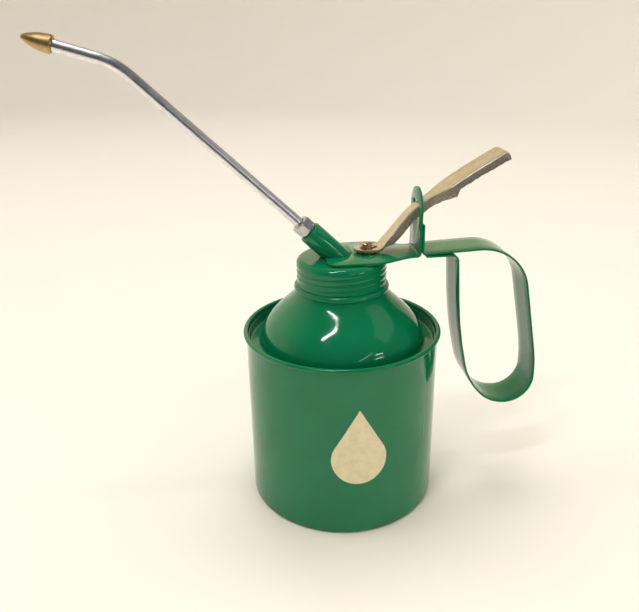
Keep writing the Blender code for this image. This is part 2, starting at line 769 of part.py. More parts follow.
def strainer():
    """The cup-shaped strainer over the foot of the pick-up tube, pierced all round."""
    foot = SUCTION_FOOT - 3
    wall = STRAINER_R - SUCTION_R - GAP
    top = SUCTION_FOOT + 4
    profile = [
        (SUCTION_R + GAP, top), (STRAINER_R, top), (STRAINER_R, foot), (0, foot),
        (0, foot + wall), (SUCTION_R + GAP, foot + wall),
    ]
    item = on_rod("strainer", profile, "brass", 24)
    middle = foot + wall + 0.9
    cut(item, "strainer_hole_x", cylinder_between(
        0.7, (ROD_X - STRAINER_R * 2, 0, middle), (ROD_X + STRAINER_R * 2, 0, middle), 12))
    cut(item, "strainer_hole_y", cylinder_between(
        0.7, (ROD_X, -STRAINER_R * 2, middle), (ROD_X, STRAINER_R * 2, middle), 12))
    return item


def plunger_rod():
    """The brass rod, with the round head that the lever's tongue lifts."""
    foot = piston_ball_z() + BALL_R + BALL_LIFT + GAP
    plug = BALL_R + RUN_FIT - GAP
    dome = arc((HEAD_R - 1.1, HEAD_Z + HEAD_HEIGHT - 1.1), 1.1, 90, 0, 3)
    profile = [(0, HEAD_Z + HEAD_HEIGHT)] + dome
    profile += [(HEAD_R, HEAD_Z), (ROD_R, HEAD_Z), (ROD_R, PISTON_CAGE_TOP), (plug, PISTON_CAGE_TOP)]
    profile += [(plug, foot), (0, foot)]
    return on_rod("plunger_rod", profile, "brass", 24, closed=False)


def piston():
    """The piston: a flange with a ball seat, and the cage that the rod's end fills."""
    outer = BARREL_BORE_R - GAP
    chamber = BALL_R + RUN_FIT
    seat = PISTON_FOOT + PISTON_FLANGE
    profile = [
        (chamber, PISTON_CAGE_TOP), (PISTON_CAGE_R, PISTON_CAGE_TOP), (PISTON_CAGE_R, seat + 0.6),
        (outer, seat + 0.6), (outer, PISTON_FOOT), (SEAT_R, PISTON_FOOT), (SEAT_R, seat),
        (chamber, seat + 0.6),
    ]
    item = on_rod("piston", profile, "brass", 24)
    window = piston_ball_z() + BALL_R + 0.4
    cut(item, "piston_window", cylinder_between(
        0.9, (ROD_X, -BARREL_R, window), (ROD_X, BARREL_R, window), 12))
    return item


def cup_leather():
    """The leather cup that seals the piston in the barrel."""
    foot = PISTON_FOOT + PISTON_FLANGE + 0.6 + GAP
    inner = PISTON_CAGE_R + GAP
    outer = BARREL_BORE_R - 0.15
    profile = [
        (outer - CUP_SHEET, foot + CUP_HEIGHT), (outer, foot + CUP_HEIGHT), (outer, foot),
        (inner, foot), (inner, foot + CUP_SHEET), (outer - CUP_SHEET, foot + CUP_SHEET),
    ]
    return on_rod("cup_leather", profile, "leather", 24)


def plunger_spring():
    """The return spring between the piston's cage and the rod guide."""
    low = PISTON_CAGE_TOP + GAP + SPRING_WIRE_R
    high = GUIDE_FOOT - GAP - SPRING_WIRE_R
    curve = bpy.data.curves.new("plunger_spring", "CURVE")
    curve.dimensions = "3D"
    curve.bevel_depth = SPRING_WIRE_R * MM
    curve.bevel_resolution = 1
    curve.use_fill_caps = True
    spline = curve.splines.new("POLY")
    steps = SPRING_TURNS * 14
    spline.points.add(steps)
    for step, point in enumerate(spline.points):
        share = step / steps
        angle = 2 * math.pi * SPRING_TURNS * share
        x = ROD_X + SPRING_R * math.cos(angle)
        y = SPRING_R * math.sin(angle)
        point.co = (x * MM, y * MM, (low + (high - low) * share) * MM, 1)
    return add_object("plunger_spring", curve, "steel")


# ---------------------------------------------------------------- lever

def web_top(x):
    """Height of the lever's upper face: level tongue, steep heel, then the thumb pad's slope."""
    knee_z = TONGUE_TOP + KNEE_RISE
    heel = knee_z - (KNEE_X - x) * HEEL_SLOPE
    pad = knee_z + (x - KNEE_X) * PAD_SLOPE
    return max(TONGUE_TOP, min(heel, pad))


def side_outline(drop, start, end):
    """The lever's side view between two places: the upper face, lowered square to itself by drop."""
    knee_z = TONGUE_TOP + KNEE_RISE
    heel_x = KNEE_X - KNEE_RISE / HEEL_SLOPE
    heel_tilt = math.degrees(math.atan(HEEL_SLOPE))
    pad_tilt = math.degrees(math.atan(PAD_SLOPE))
    # The bends are arcs that touch the straight runs.
    heel_r = 2.5
    knee_r = 12.0
    heel_cut = heel_r * math.tan(math.radians(heel_tilt / 2))
    knee_cut = knee_r * math.tan(math.radians((heel_tilt - pad_tilt) / 2))
    climb = math.hypot(KNEE_RISE, KNEE_X - heel_x)
    pad_run = (end - KNEE_X) / math.cos(math.radians(pad_tilt))
    moves = [
        ("run", heel_x - heel_cut - start), ("bend", heel_r, heel_tilt),
        ("run", climb - heel_cut - knee_cut), ("bend", knee_r, pad_tilt - heel_tilt),
        ("run", pad_run - knee_cut),
    ]
    path = bent_path((start, TONGUE_TOP), 0, moves, 12)
    return offset_inside(path, drop) if drop else path


def lever_underside():
    """The lower edge of the flanges, from the outer end back to the heel."""
    pad_normal = math.radians(90) - math.atan(PAD_SLOPE)
    end_z = web_top(LEVER_END_X)
    lower = [
        (LEVER_END_X + 2.2, end_z - 4.2), (LEVER_END_X - 1.5, end_z - 7.0),
        (PAD_FULL_X + 3.0, web_top(PAD_FULL_X + 3.0) - 6.1), (PAD_FULL_X + 1.4, web_top(PAD_FULL_X) - 6.6),
        (PAD_FULL_X - 2.5, web_top(PAD_FULL_X - 2.5) - 5.6), (PAD_START_X, web_top(PAD_START_X) - 5.4),
        (TAB_X, PIVOT_Z + 0.4), (TAB_X - 5.5, web_top(TAB_X - 5.5) - 5.9),
        (TAB_X - 11.5, web_top(TAB_X - 11.5) - 5.4), (TONGUE_END_X + 0.2, TONGUE_Z), (TONGUE_X, TONGUE_Z),
    ]
    return lower


def lever():
    """The pressed lever: a channel with a flat tongue at one end and a thumb pad at the other."""
    upright = Matrix.Rotation(math.radians(90), 4, "X")
    side = side_outline(0, TONGUE_X, LEVER_END_X) + lever_underside()
    blank = curve_mesh("lever", plate_curve("lever_side", side, PAD_HALF_WIDTH * 2), upright)
    item = add_object("lever", blank, "nickel")

    beyond = 0.1
    edge = [
        (TONGUE_END_X, TONGUE_HALF_WIDTH), (NECK_START_X, NECK_HALF_WIDTH), (PAD_START_X, NECK_HALF_WIDTH),
        (PAD_FULL_X, PAD_HALF_WIDTH + beyond), (LEVER_END_X + 5, PAD_HALF_WIDTH + beyond),
    ]
    plan = arc((TONGUE_X + TONGUE_HALF_WIDTH, 0), TONGUE_HALF_WIDTH, 270, 90, 10) + edge
    plan += [(x, -y) for x, y in edge[::-1]]
    middle = Matrix.Translation((0, 0, PIVOT_Z * MM))
    plan_mesh = curve_mesh("lever_plan", plate_curve("lever_plan", plan, 100), middle)
    trim = item.modifiers.new("Plan", "BOOLEAN")
    trim.operation = "INTERSECT"
    trim.solver = "EXACT"
    trim.object = add_cutter("lever_plan", plan_mesh)

    hollow_start = TONGUE_END_X + 1.5
    roof = [point for point in side_outline(LEVER_SHEET, TONGUE_X, LEVER_END_X - LEVER_SHEET) if point[0] > hollow_start]
    roof += [(LEVER_END_X - LEVER_SHEET, PIVOT_Z - 12), (hollow_start, PIVOT_Z - 20)]
    narrow = curve_mesh(
        "lever_hollow", plate_curve("lever_hollow", roof, (NECK_HALF_WIDTH - LEVER_SHEET) * 2), upright)
    hollow = item.modifiers.new("Hollow", "BOOLEAN")
    hollow.solver = "EXACT"
    hollow.object = add_cutter("lever_hollow", narrow)
    pad_roof = [point for point in roof if point[0] > PAD_FULL_X - 1]
    pad_roof += [(PAD_FULL_X - 1, PIVOT_Z - 20), (PAD_FULL_X - 1, web_top(PAD_FULL_X - 1) - LEVER_SHEET * 1.2)]
    wide = curve_mesh(
        "pad_hollow", plate_curve("pad_hollow", pad_roof, (PAD_HALF_WIDTH - LEVER_SHEET) * 2), upright)
    pad = item.modifiers.new("Pad", "BOOLEAN")
    pad.solver = "EXACT"
    pad.object = add_cutter("pad_hollow", wide)

    hole_r = ROD_R + RUN_FIT
    travel = 2.9
    cut(item, "rod_slot_near", cylinder_between(
        hole_r, (ROD_X, 0, TONGUE_Z - 3), (ROD_X, 0, TONGUE_TOP + 3), 20))
    cut(item, "rod_slot_far", cylinder_between(
        hole_r, (ROD_X + travel, 0, TONGUE_Z - 3), (ROD_X + travel, 0, TONGUE_TOP + 3), 20))
    cut(item, "rod_slot_middle", box_between(
        (ROD_X, -hole_r, TONGUE_Z - 3), (ROD_X + travel, hole_r, TONGUE_TOP + 3)))
    return item


# ---------------------------------------------------------------- assembly

def smooth_round_pieces():
    for item in PARTS.objects:
        if item.type == "MESH":
            item.data.shade_smooth()
            item.data.set_sharp_from_angle(angle=math.radians(35))


def build():
    can_body()
    can_top()
    seal = cap_seal()
    head = [
        pump_cap(), bracket(), handle_strap(), spout_boss(), gland_nut(), gland_packing(),
        pump_barrel(), rod_guide(), delivery_tube(), foot_valve(), ball_stop(), suction_tube(), strainer(),
    ]
    spout = [spout_tube(), nozzle_tip()]
    plunger = [plunger_rod(), piston(), cup_leather(), plunger_spring()]
    head_axis = add_axis("head_turn_axis", (0, 0, 0))
    carry(head_axis, seal, *head)
    carry(add_axis("spout_axis", SPOUT_ROOT), *spout)
    carry(add_axis("plunger_axis", (ROD_X, 0, 0)), *plunger)
    carry(add_axis("foot_ball_axis", (ROD_X, 0, 0)), ball("foot_ball", foot_ball_z()))
    carry(add_axis("piston_ball_axis", (ROD_X, 0, 0)), ball("piston_ball", piston_ball_z()))
    carry(add_axis("lever_pivot", (TAB_X, 0, PIVOT_Z)), lever())
    smooth_round_pieces()


clear_scene()
PARTS = new_collection("pump_oiler")
CUTTERS = new_collection("cutters", hidden=True)
build()
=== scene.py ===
"""The pump oiler's finished look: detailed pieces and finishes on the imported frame.

Sizes are in millimetres in the tables below and are turned to metres as they are used.
"""

import math

import bmesh
import bpy
from mathutils import Matrix, Vector


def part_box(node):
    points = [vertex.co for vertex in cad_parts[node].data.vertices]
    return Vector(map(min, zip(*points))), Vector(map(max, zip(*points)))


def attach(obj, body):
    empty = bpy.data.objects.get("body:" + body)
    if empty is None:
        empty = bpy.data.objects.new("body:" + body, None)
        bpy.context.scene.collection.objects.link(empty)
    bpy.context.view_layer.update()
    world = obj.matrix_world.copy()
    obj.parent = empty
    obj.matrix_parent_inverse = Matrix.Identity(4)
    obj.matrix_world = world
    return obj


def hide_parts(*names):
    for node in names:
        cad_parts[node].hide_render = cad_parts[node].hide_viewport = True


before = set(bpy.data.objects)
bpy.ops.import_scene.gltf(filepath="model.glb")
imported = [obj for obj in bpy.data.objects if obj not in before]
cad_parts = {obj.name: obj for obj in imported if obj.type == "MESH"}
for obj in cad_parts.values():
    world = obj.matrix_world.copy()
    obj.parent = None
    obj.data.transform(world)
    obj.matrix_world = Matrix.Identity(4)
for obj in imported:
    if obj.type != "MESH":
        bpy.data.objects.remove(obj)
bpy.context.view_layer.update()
scene = bpy.context.scene
MM = 0.001


# ---------------------------------------------------------------- places taken from the frame

def box_mm(node):
    low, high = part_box(node)
    return [value * 1000 for value in low], [value * 1000 for value in high]


CAP_LOW, CAP_HIGH = box_mm("pump_cap")
RIM_TOP = box_mm("can_body")[1][2]
NECK_TOP = box_mm("can_top")[1][2]
CAP_TOP = CAP_HIGH[2]
BRACKET_LOW, BRACKET_HIGH = box_mm("bracket")
STRAP_HIGH = box_mm("handle_strap")[1]
HEAD_LOW, HEAD_HIGH = box_mm("plunger_rod")
LEVER_LOW, LEVER_HIGH = box_mm("lever")
ROD_X = (HEAD_LOW[0] + HEAD_HIGH[0]) / 2
TAB_X = BRACKET_HIGH[0] - 0.5

CAN_R = 44.6
SPOUT_RISE = math.radians(44)
SPOUT_ROOT = Vector((-1.8, 0, CAP_TOP))
SPOUT_TURN = Matrix.Rotation(SPOUT_RISE - math.pi / 2, 4, "Y")
SPOUT_PLACE = Matrix.Translation(SPOUT_ROOT * MM) @ SPOUT_TURN


# ---------------------------------------------------------------- node material kit

class Finish:
    """A procedural finish: a Principled shader and the nodes that feed it."""

    def __init__(self, name, colour, roughness, metallic=0.0, **sockets):
        self.material = bpy.data.materials.new(name)
        self.material.use_nodes = True
        self.tree = self.material.node_tree
        self.shader = self.tree.nodes["Principled BSDF"]
        self.shader.inputs["Base Color"].default_value = (*colour, 1)
        self.shader.inputs["Roughness"].default_value = roughness
        self.shader.inputs["Metallic"].default_value = metallic
        for socket, value in sockets.items():
            self.shader.inputs[socket.replace("_", " ")].default_value = value
        self.material.diffuse_color = (*colour, 1)
        self.place = self.node("ShaderNodeTexCoord").outputs["Object"]

    def node(self, kind, **settings):
        node = self.tree.nodes.new(kind)
        for name, value in settings.items():
            setattr(node, name, value)
        return node

    def link(self, source, target):
        self.tree.links.new(source, target)

    def turned_place(self, matrix, stretch=(1, 1, 1)):
        """Object coordinates seen from a piece's own axis, stretched along it."""
        mapping = self.node("ShaderNodeMapping")
        inverse = matrix.inverted()
        mapping.inputs["Location"].default_value = [
            value * scale for value, scale in zip(inverse.translation, stretch)]
        mapping.inputs["Rotation"].default_value = inverse.to_euler()
        mapping.inputs["Scale"].default_value = (1, 1, 1)
        self.link(self.place, mapping.inputs["Vector"])
        scaled = self.node("ShaderNodeVectorMath", operation="MULTIPLY")
        scaled.inputs[1].default_value = stretch
        self.link(mapping.outputs["Vector"], scaled.inputs[0])
        return scaled.outputs["Vector"]

    def noise(self, size_mm, detail=3.0, rough=0.5, vector=None):
        """Noise from 0 to 1 with features of about the given size."""
        noise = self.node("ShaderNodeTexNoise")
        noise.inputs["Scale"].default_value = 1000 / size_mm
        noise.inputs["Detail"].default_value = detail
        noise.inputs["Roughness"].default_value = rough
        self.link(vector or self.place, noise.inputs["Vector"])
        return noise.outputs["Fac"]

    def cells(self, size_mm):
        cells = self.node("ShaderNodeTexVoronoi")
        cells.inputs["Scale"].default_value = 1000 / size_mm
        self.link(self.place, cells.inputs["Vector"])
        return cells.outputs["Distance"]

    def math(self, operation, first, second=None, third=None, clamp=False):
        node = self.node("ShaderNodeMath", operation=operation, use_clamp=clamp)
        for socket, value in zip(node.inputs, (first, second, third)):
            if value is None:
                continue
            if isinstance(value, (int, float)):
                socket.default_value = value
            else:
                self.link(value, socket)
        return node.outputs[0]

    def spread(self, value, low, high, to_low=0.0, to_high=1.0):
        """Stretches a value's low to high range onto another range, with soft ends."""
        node = self.node("ShaderNodeMapRange", interpolation_type="SMOOTHSTEP")
        self.link(value, node.inputs["Value"])
        for socket, number in zip(("From Min", "From Max", "To Min", "To Max"), (low, high, to_low, to_high)):
            node.inputs[socket].default_value = number
        return node.outputs["Result"]

    def mix(self, share, first, second):
        """A colour between two, each a colour or a node's output."""
        node = self.node("ShaderNodeMix", data_type="RGBA")
        self.link(share, node.inputs["Factor"])
        for socket, value in ((node.inputs[6], first), (node.inputs[7], second)):
            if isinstance(value, tuple):
                socket.default_value = (*value, 1)
            else:
                self.link(value, socket)
        return node.outputs[2]

    def colour(self, output):
        self.link(output, self.shader.inputs["Base Color"])

    def roughness(self, output):
        self.link(output, self.shader.inputs["Roughness"])

    def bump(self, height, depth_mm, after=None):
        """Raises the surface by up to the given depth where height is 1."""
        node = self.node("ShaderNodeBump")
        node.inputs["Strength"].default_value = 1.0
        node.inputs["Distance"].default_value = depth_mm * MM
        self.link(height, node.inputs["Height"])
        if after:
            self.link(after, node.inputs["Normal"])
        self.link(node.outputs["Normal"], self.shader.inputs["Normal"])
        return node.outputs["Normal"]

    def separate(self, vector=None):
        node = self.node("ShaderNodeSeparateXYZ")
        self.link(vector or self.place, node.inputs[0])
        return node.outputs


# ---------------------------------------------------------------- finishes

ENAMEL_GREEN = (0.0022, 0.150, 0.060)
ENAMEL_DEEP = (0.0016, 0.138, 0.054)


def enamel(name, wear=0.0):
    """Baked gloss enamel: slight orange peel, faint dust, and rubbed spots where it is handled."""
    finish = Finish(name, ENAMEL_GREEN, 0.1, IOR=1.45)
    cloud = finish.noise(22, 2.0)
    fine = finish.noise(0.9, 2.0)
    speck = finish.noise(0.5, 1.0)
    green = finish.mix(finish.spread(cloud, 0.35, 0.65), ENAMEL_DEEP, ENAMEL_GREEN)
    dust = finish.spread(finish.noise(0.9, 4.0, 0.7), 0.66, 0.82, 0.0, 0.10)
    green = finish.mix(dust, green, (0.20, 0.26, 0.20))
    if wear:
        rubbed = finish.spread(finish.noise(5.5, 6.0, 0.62), 0.70 - wear * 0.05, 0.76)
        green = finish.mix(finish.math("MULTIPLY", rubbed, 0.45), green, (0.05, 0.16, 0.08))
    finish.colour(green)
    smudge = finish.spread(finish.noise(9, 4.0, 0.6), 0.45, 0.75, 0.07, 0.17)
    finish.roughness(finish.math("ADD", smudge, finish.spread(speck, 0.55, 0.8, 0.0, 0.05)))
    first = finish.bump(fine, 0.007)
    finish.bump(finish.noise(7, 1.0), 0.03, first)
    return finish


BADGE_MIDDLE_Z = 45.9
BADGE_SHIFT = 0.9
PRINT_BLUR = 0.06


def can_enamel():
    """The can's enamel with a plain printed oil drop on its front."""
    finish = enamel("can_enamel_with_badge")
    x, y, z = finish.separate()[:3]
    front = finish.math("LESS_THAN", y, 0.0)
    around = finish.math("MULTIPLY", finish.math("ARCTAN2", x, finish.math("MULTIPLY", y, -1.0)), CAN_R)
    up = finish.math("SUBTRACT", finish.math("MULTIPLY", z, 1000.0), BADGE_MIDDLE_Z)
    ragged = finish.spread(finish.noise(0.35, 2.0), 0.0, 1.0, -0.12, 0.12)
    around = finish.math("SUBTRACT", finish.math("ADD", around, ragged), BADGE_SHIFT)

    def distance(middle_z):
        across = finish.math("POWER", finish.math("ABSOLUTE", around), 2.0)
        along = finish.math("ABSOLUTE", finish.math("SUBTRACT", up, middle_z))
        return finish.math("SQRT", finish.math("ADD", across, finish.math("POWER", along, 2.0)))

    def inside(value, edge):
        return finish.spread(value, edge - PRINT_BLUR, edge + PRINT_BLUR, 1.0, 0.0)

    def drop(base_z, radius, tip_z):
        """A round foot whose sides run straight up to a point."""
        foot = inside(distance(base_z), radius)
        slope = radius / (tip_z - base_z)
        shoulder = base_z + radius * slope
        wide = radius * math.sqrt(1 - slope ** 2)
        climb = finish.math("DIVIDE", finish.math("SUBTRACT", up, shoulder), tip_z - shoulder, clamp=True)
        edge = finish.math("MULTIPLY", finish.math("SUBTRACT", 1.0, climb), wide)
        side = finish.math("SUBTRACT", finish.math("ABSOLUTE", around), edge)
        cone = finish.math("MULTIPLY", finish.spread(side, -PRINT_BLUR, PRINT_BLUR, 1.0, 0.0),
                           finish.spread(up, shoulder - PRINT_BLUR, shoulder + PRINT_BLUR))
        below_tip = finish.spread(up, tip_z - PRINT_BLUR, tip_z + PRINT_BLUR, 1.0, 0.0)
        cone = finish.math("MULTIPLY", cone, below_tip)
        return finish.math("MAXIMUM", foot, cone)

    pale = finish.math("MULTIPLY", drop(-6.0, 12.5, 19.0), front)
    patchy = finish.noise(4.0, 4.0, 0.6)
    cream = finish.mix(finish.spread(patchy, 0.3, 0.7), (0.60, 0.53, 0.34), (0.68, 0.61, 0.41))
    enamel_colour = finish.shader.inputs["Base Color"].links[0].from_socket
    finish.colour(finish.mix(pale, enamel_colour, cream))
    gloss = finish.shader.inputs["Roughness"].links[0].from_socket
    finish.roughness(finish.math("ADD", gloss, finish.math("MULTIPLY", pale, 0.13)))
    under = finish.shader.inputs["Normal"].links[0].from_socket
    finish.bump(pale, 0.012, under)
    return finish.material


def plated(name, colour, low, high, pits=0.0, tarnish=None, brushed=None, grain=0.004):
    """Bare or plated metal: patchy gloss, fine marks, and pits or tarnish where asked."""
    finish = Finish(name, colour, (low + high) / 2, 1.0)
    cloud = finish.noise(3.5, 4.0, 0.6)
    dull = tuple(value * 0.82 for value in colour)
    base = finish.mix(finish.spread(cloud, 0.35, 0.7), dull, colour)
    if tarnish:
        spots = finish.spread(finish.noise(1.6, 5.0, 0.65), 0.52, 0.70, 0.0, 0.65)
        base = finish.mix(spots, base, tarnish)
    finish.colour(base)
    marks = finish.noise(0.7, 3.0, 0.6, vector=brushed and finish.turned_place(*brushed))
    finish.roughness(finish.math("ADD", finish.spread(cloud, 0.3, 0.7, low, high),
                                 finish.spread(marks, 0.4, 0.75, 0.0, 0.08)))
    first = finish.bump(marks, grain)
    if pits:
        hollow = finish.spread(finish.noise(0.8, 4.0, 0.7), 0.52, 0.68, 1.0, 0.0)
        finish.bump(hollow, pits, first)
    return finish.material


def satin_nickel():
    """The lever's satin nickel: smooth and warm on top; on its side walls fine grit with darker pores, and a darker
    tone there that is painted shade.
    """
    finish = Finish("lever_satin_nickel", (0.60, 0.56, 0.45), 0.34, 1.0)
    normal = finish.node("ShaderNodeNewGeometry").outputs["Normal"]
    facing = finish.separate(normal)[2]
    # Faces that look sideways get the grit colour below. The grit is the metal's own; its darker average tone on these
    # side walls is painted shade.
    side = finish.spread(facing, 0.10, 0.50, 1.0, 0.0)
    cloud = finish.noise(4.0, 4.0, 0.6)
    warm = finish.mix(finish.spread(cloud, 0.3, 0.7), (0.60, 0.55, 0.44), (0.72, 0.67, 0.55))
    grit = finish.spread(finish.noise(0.42, 4.0, 0.7), 0.40, 0.62)
    # Grit colour from dark pores to pale metal, darker on average than the top: partly real grit, partly painted shade
    # on the side walls.
    side_grit_and_painted_shade = finish.mix(grit, (0.36, 0.29, 0.21), (0.80, 0.72, 0.60))
    finish.colour(finish.mix(side, warm, side_grit_and_painted_shade))
    smooth = finish.spread(finish.noise(0.9, 4.0, 0.7), 0.3, 0.7, 0.30, 0.42)
    finish.roughness(finish.math("ADD", smooth, finish.math("MULTIPLY", side, 0.10)))
    first = finish.bump(finish.noise(0.5, 3.0), 0.006)
    pits = finish.math("MULTIPLY", finish.spread(finish.noise(0.42, 4.0, 0.7), 0.38, 0.62), side)
    finish.bump(pits, 0.05, first)
    return finish.material


def peened_brass():
    """The hammered head of the plunger: bright facets with dark oil between them."""
    finish = Finish("peened_brass", (0.72, 0.46, 0.20), 0.24, 1.0)
    patches = finish.noise(1.5, 5.0, 0.7)
    bright = finish.mix(finish.spread(patches, 0.40, 0.60), (0.46, 0.27, 0.12), (0.95, 0.76, 0.48))
    finish.colour(bright)
    finish.roughness(finish.spread(patches, 0.35, 0.65, 0.42, 0.16))
    first = finish.bump(finish.cells(1.1), 0.25)
    finish.bump(finish.noise(0.5, 3.0), 0.03, first)
    return finish.material


def soft_black(name, colour=(0.016, 0.015, 0.014)):
    finish = Finish(name, colour, 0.6)
    finish.roughness(finish.spread(finish.noise(1.2, 4.0), 0.3, 0.7, 0.5, 0.78))
    finish.colour(finish.mix(finish.noise(2.2, 4.0), colour, tuple(value * 2.2 for value in colour)))
    finish.bump(finish.noise(0.4, 3.0), 0.02)
    return finish.material


# ---------------------------------------------------------------- mesh kit

def arc(centre, radius, start, end, steps):
    points = []
    for step in range(steps + 1):
        angle = math.radians(start + (end - start) * step / steps)
        points.append((centre[0] + radius * math.cos(angle), centre[1] + radius * math.sin(angle)))
    return points


def spun(profile, steps, closed=True):
    """A bmesh of a (radius, height) profile spun round the Z axis."""
    bm = bmesh.new()
    verts = [bm.verts.new((radius * MM, 0, height * MM)) for radius, height in profile]
    pairs = list(zip(verts, verts[1:]))
    if closed:
        pairs.append((verts[-1], verts[0]))
    for first, second in pairs:
        bm.edges.new((first, second))
    bmesh.ops.spin(
        bm, geom=bm.verts[:] + bm.edges[:], cent=(0, 0, 0), axis=(0, 0, 1), dvec=(0, 0, 0),
        angle=math.tau, steps=steps, use_merge=True)
    bmesh.ops.remove_doubles(bm, verts=bm.verts, dist=0.0000005)
    bmesh.ops.dissolve_degenerate(bm, edges=bm.edges, dist=0.0000005)
    return bm


def swept_strip(path, half_widths, columns):
    """An open strip: a row of edges across Y, extruded from point to point of an (x, z) path."""
    bm = bmesh.new()
    x, z = path[0]
    row = [bm.verts.new((x * MM, share * half_widths[0] * MM, z * MM)) for share in columns]
    edges = [bm.edges.new(pair) for pair in zip(row, row[1:])]
    for index in range(1, len(path)):
        made = bmesh.ops.extrude_edge_only(bm, edges=edges)["geom"]
        verts = [item for item in made if isinstance(item, bmesh.types.BMVert)]
        fresh = set(verts)
        edges = [item for item in made if isinstance(item, bmesh.types.BMEdge) and set(item.verts) <= fresh]
        (x0, z0), (x1, z1) = path[index - 1], path[index]
        bmesh.ops.translate(bm, verts=verts, vec=((x1 - x0) * MM, 0, (z1 - z0) * MM))
        bmesh.ops.scale(bm, verts=verts, vec=(1, half_widths[index] / half_widths[index - 1], 1))
    return bm


def swept_tube(path, radius, sides, caps=True):
    """A tube along an (x, z) path, its ring turned half-way at every point."""
    bm = bmesh.new()
    points = [Vector((x, 0, z)) * MM for x, z in path]
    headings = [(after - before).normalized() for before, after in zip(points, points[1:])]
    first_turn = headings[0].to_track_quat("Z", "Y").to_matrix().to_4x4()
    ring = bmesh.ops.create_circle(
        bm, cap_ends=False, segments=sides, radius=radius * MM,
        matrix=Matrix.Translation(points[0]) @ first_turn)["verts"]
    edges = list({edge for vert in ring for edge in vert.link_edges})
    foot = edges
    turned = 0.0
    start = math.atan2(headings[0].z, headings[0].x)
    for index in range(1, len(points)):
        made = bmesh.ops.extrude_edge_only(bm, edges=edges)["geom"]
        ring = [item for item in made if isinstance(item, bmesh.types.BMVert)]
        fresh = set(ring)
        edges = [item for item in made if isinstance(item, bmesh.types.BMEdge) and set(item.verts) <= fresh]
        bmesh.ops.translate(bm, verts=ring, vec=points[index] - points[index - 1])
        following = headings[min(index, len(headings) - 1)]
        middle = (headings[index - 1] + following).normalized()
        lean = start - math.atan2(middle.z, middle.x)
        bmesh.ops.rotate(bm, verts=ring, cent=points[index], matrix=Matrix.Rotation(lean - turned, 3, "Y"))
        turned = lean
    if caps:
        bmesh.ops.holes_fill(bm, edges=foot + edges, sides=sides)
    return bm


def bent_path(start, heading, moves, arc_step=4.0):
    """Points of ('run', length) and ('bend', radius, degrees) moves, as the strap is bent."""
    x, z = start
    points = [(x, z)]
    for move in moves:
        if move[0] == "run":
            x += move[1] * math.cos(math.radians(heading))
            z += move[1] * math.sin(math.radians(heading))
            points.append((x, z))
            continue
        radius, turn = move[1:]
        side = 1 if turn > 0 else -1
        centre_x = x - side * radius * math.sin(math.radians(heading))
        centre_z = z + side * radius * math.cos(math.radians(heading))
        steps = max(3, math.ceil(abs(turn) / arc_step))
        for step in range(1, steps + 1):
            now = heading + turn * step / steps
            x = centre_x + side * radius * math.sin(math.radians(now))
            z = centre_z - side * radius * math.cos(math.radians(now))
            points.append((x, z))
        heading += turn
    return points


def piece(name, bm, finish, body, nodes, sharp=32):
    """Turns a bmesh into a finished piece that rides on a body and stands for its CAD nodes."""
    bmesh.ops.recalc_face_normals(bm, faces=bm.faces)
    mesh = bpy.data.meshes.new(name)
    bm.to_mesh(mesh)
    bm.free()
    mesh.materials.append(finish)
    mesh.shade_smooth()
    mesh.set_sharp_from_angle(angle=math.radians(sharp))
    item = bpy.data.objects.new(name, mesh)
    scene.collection.objects.link(item)
    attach(item, body)
    if nodes:
        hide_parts(*nodes)
    return item


def thicken(item, sheet, offset=0.0):
    solidify = item.modifiers.new("Sheet", "SOLIDIFY")
    solidify.thickness = sheet * MM
    solidify.offset = offset
    solidify.use_even_offset = True


def ease_edges(item, width, segments=2, angle=38):
    bevel = item.modifiers.new("Edges", "BEVEL")
    bevel.width = width * MM
    bevel.segments = segments
    bevel.limit_method = "ANGLE"
    bevel.angle_limit = math.radians(angle)
    bevel.harden_normals = False


def cut_away(item, *cutters):
    """Cuts bmesh shapes out of a piece that may still have modifiers, and keeps the result as its mesh."""
    helpers = []
    for bm in cutters:
        bmesh.ops.recalc_face_normals(bm, faces=bm.faces)
        mesh = bpy.data.meshes.new("cutter")
        bm.to_mesh(mesh)
        bm.free()
        helper = bpy.data.objects.new("cutter", mesh)
        scene.collection.objects.link(helper)
        helpers.append(helper)
        boolean = item.modifiers.new("Cut", "BOOLEAN")
        boolean.operation = "DIFFERENCE"
        boolean.solver = "EXACT"
        boolean.object = helper
    settle(item)
    for helper in helpers:
        bpy.data.objects.remove(helper)


def settle(item, sharp=32):
    """Applies a piece's modifiers to its mesh."""
    bpy.context.view_layer.update()
    graph = bpy.context.evaluated_depsgraph_get()
    mesh = bpy.data.meshes.new_from_object(item.evaluated_get(graph))
    item.modifiers.clear()
    item.data = mesh
    mesh.shade_smooth()
    mesh.set_sharp_from_angle(angle=math.radians(sharp))


def rod_between(radius, start, end, sides=48):
    """A bmesh of a cylinder between two points."""
    start, end = Vector(start) * MM, Vector(end) * MM
    bm = bmesh.new()
    turn = (end - start).to_track_quat("Z", "Y").to_matrix().to_4x4()
    bmesh.ops.create_cone(
        bm, cap_ends=True, segments=sides, radius1=radius * MM, radius2=radius * MM,
        depth=(end - start).length, matrix=Matrix.Translation((start + end) / 2) @ turn)
    return bm


def block_between(low, high, corner=0.0, axis=0):
    """A bmesh of a box between two corners, its edges along one axis rounded."""
    low, high = Vector(low) * MM, Vector(high) * MM
    bm = bmesh.new()
    place = Matrix.Translation((low + high) / 2) @ Matrix.Diagonal((*(high - low), 1))
    bmesh.ops.create_cube(bm, size=1, matrix=place)
    if corner:
        along = [edge for edge in bm.edges
                 if abs(abs((edge.verts[0].co - edge.verts[1].co).normalized()[axis]) - 1) < 0.001]
        bmesh.ops.bevel(bm, geom=along, offset=corner * MM, affect="EDGES", segments=5, profile=0.5, material=-1)
    return bm


# ---------------------------------------------------------------- can

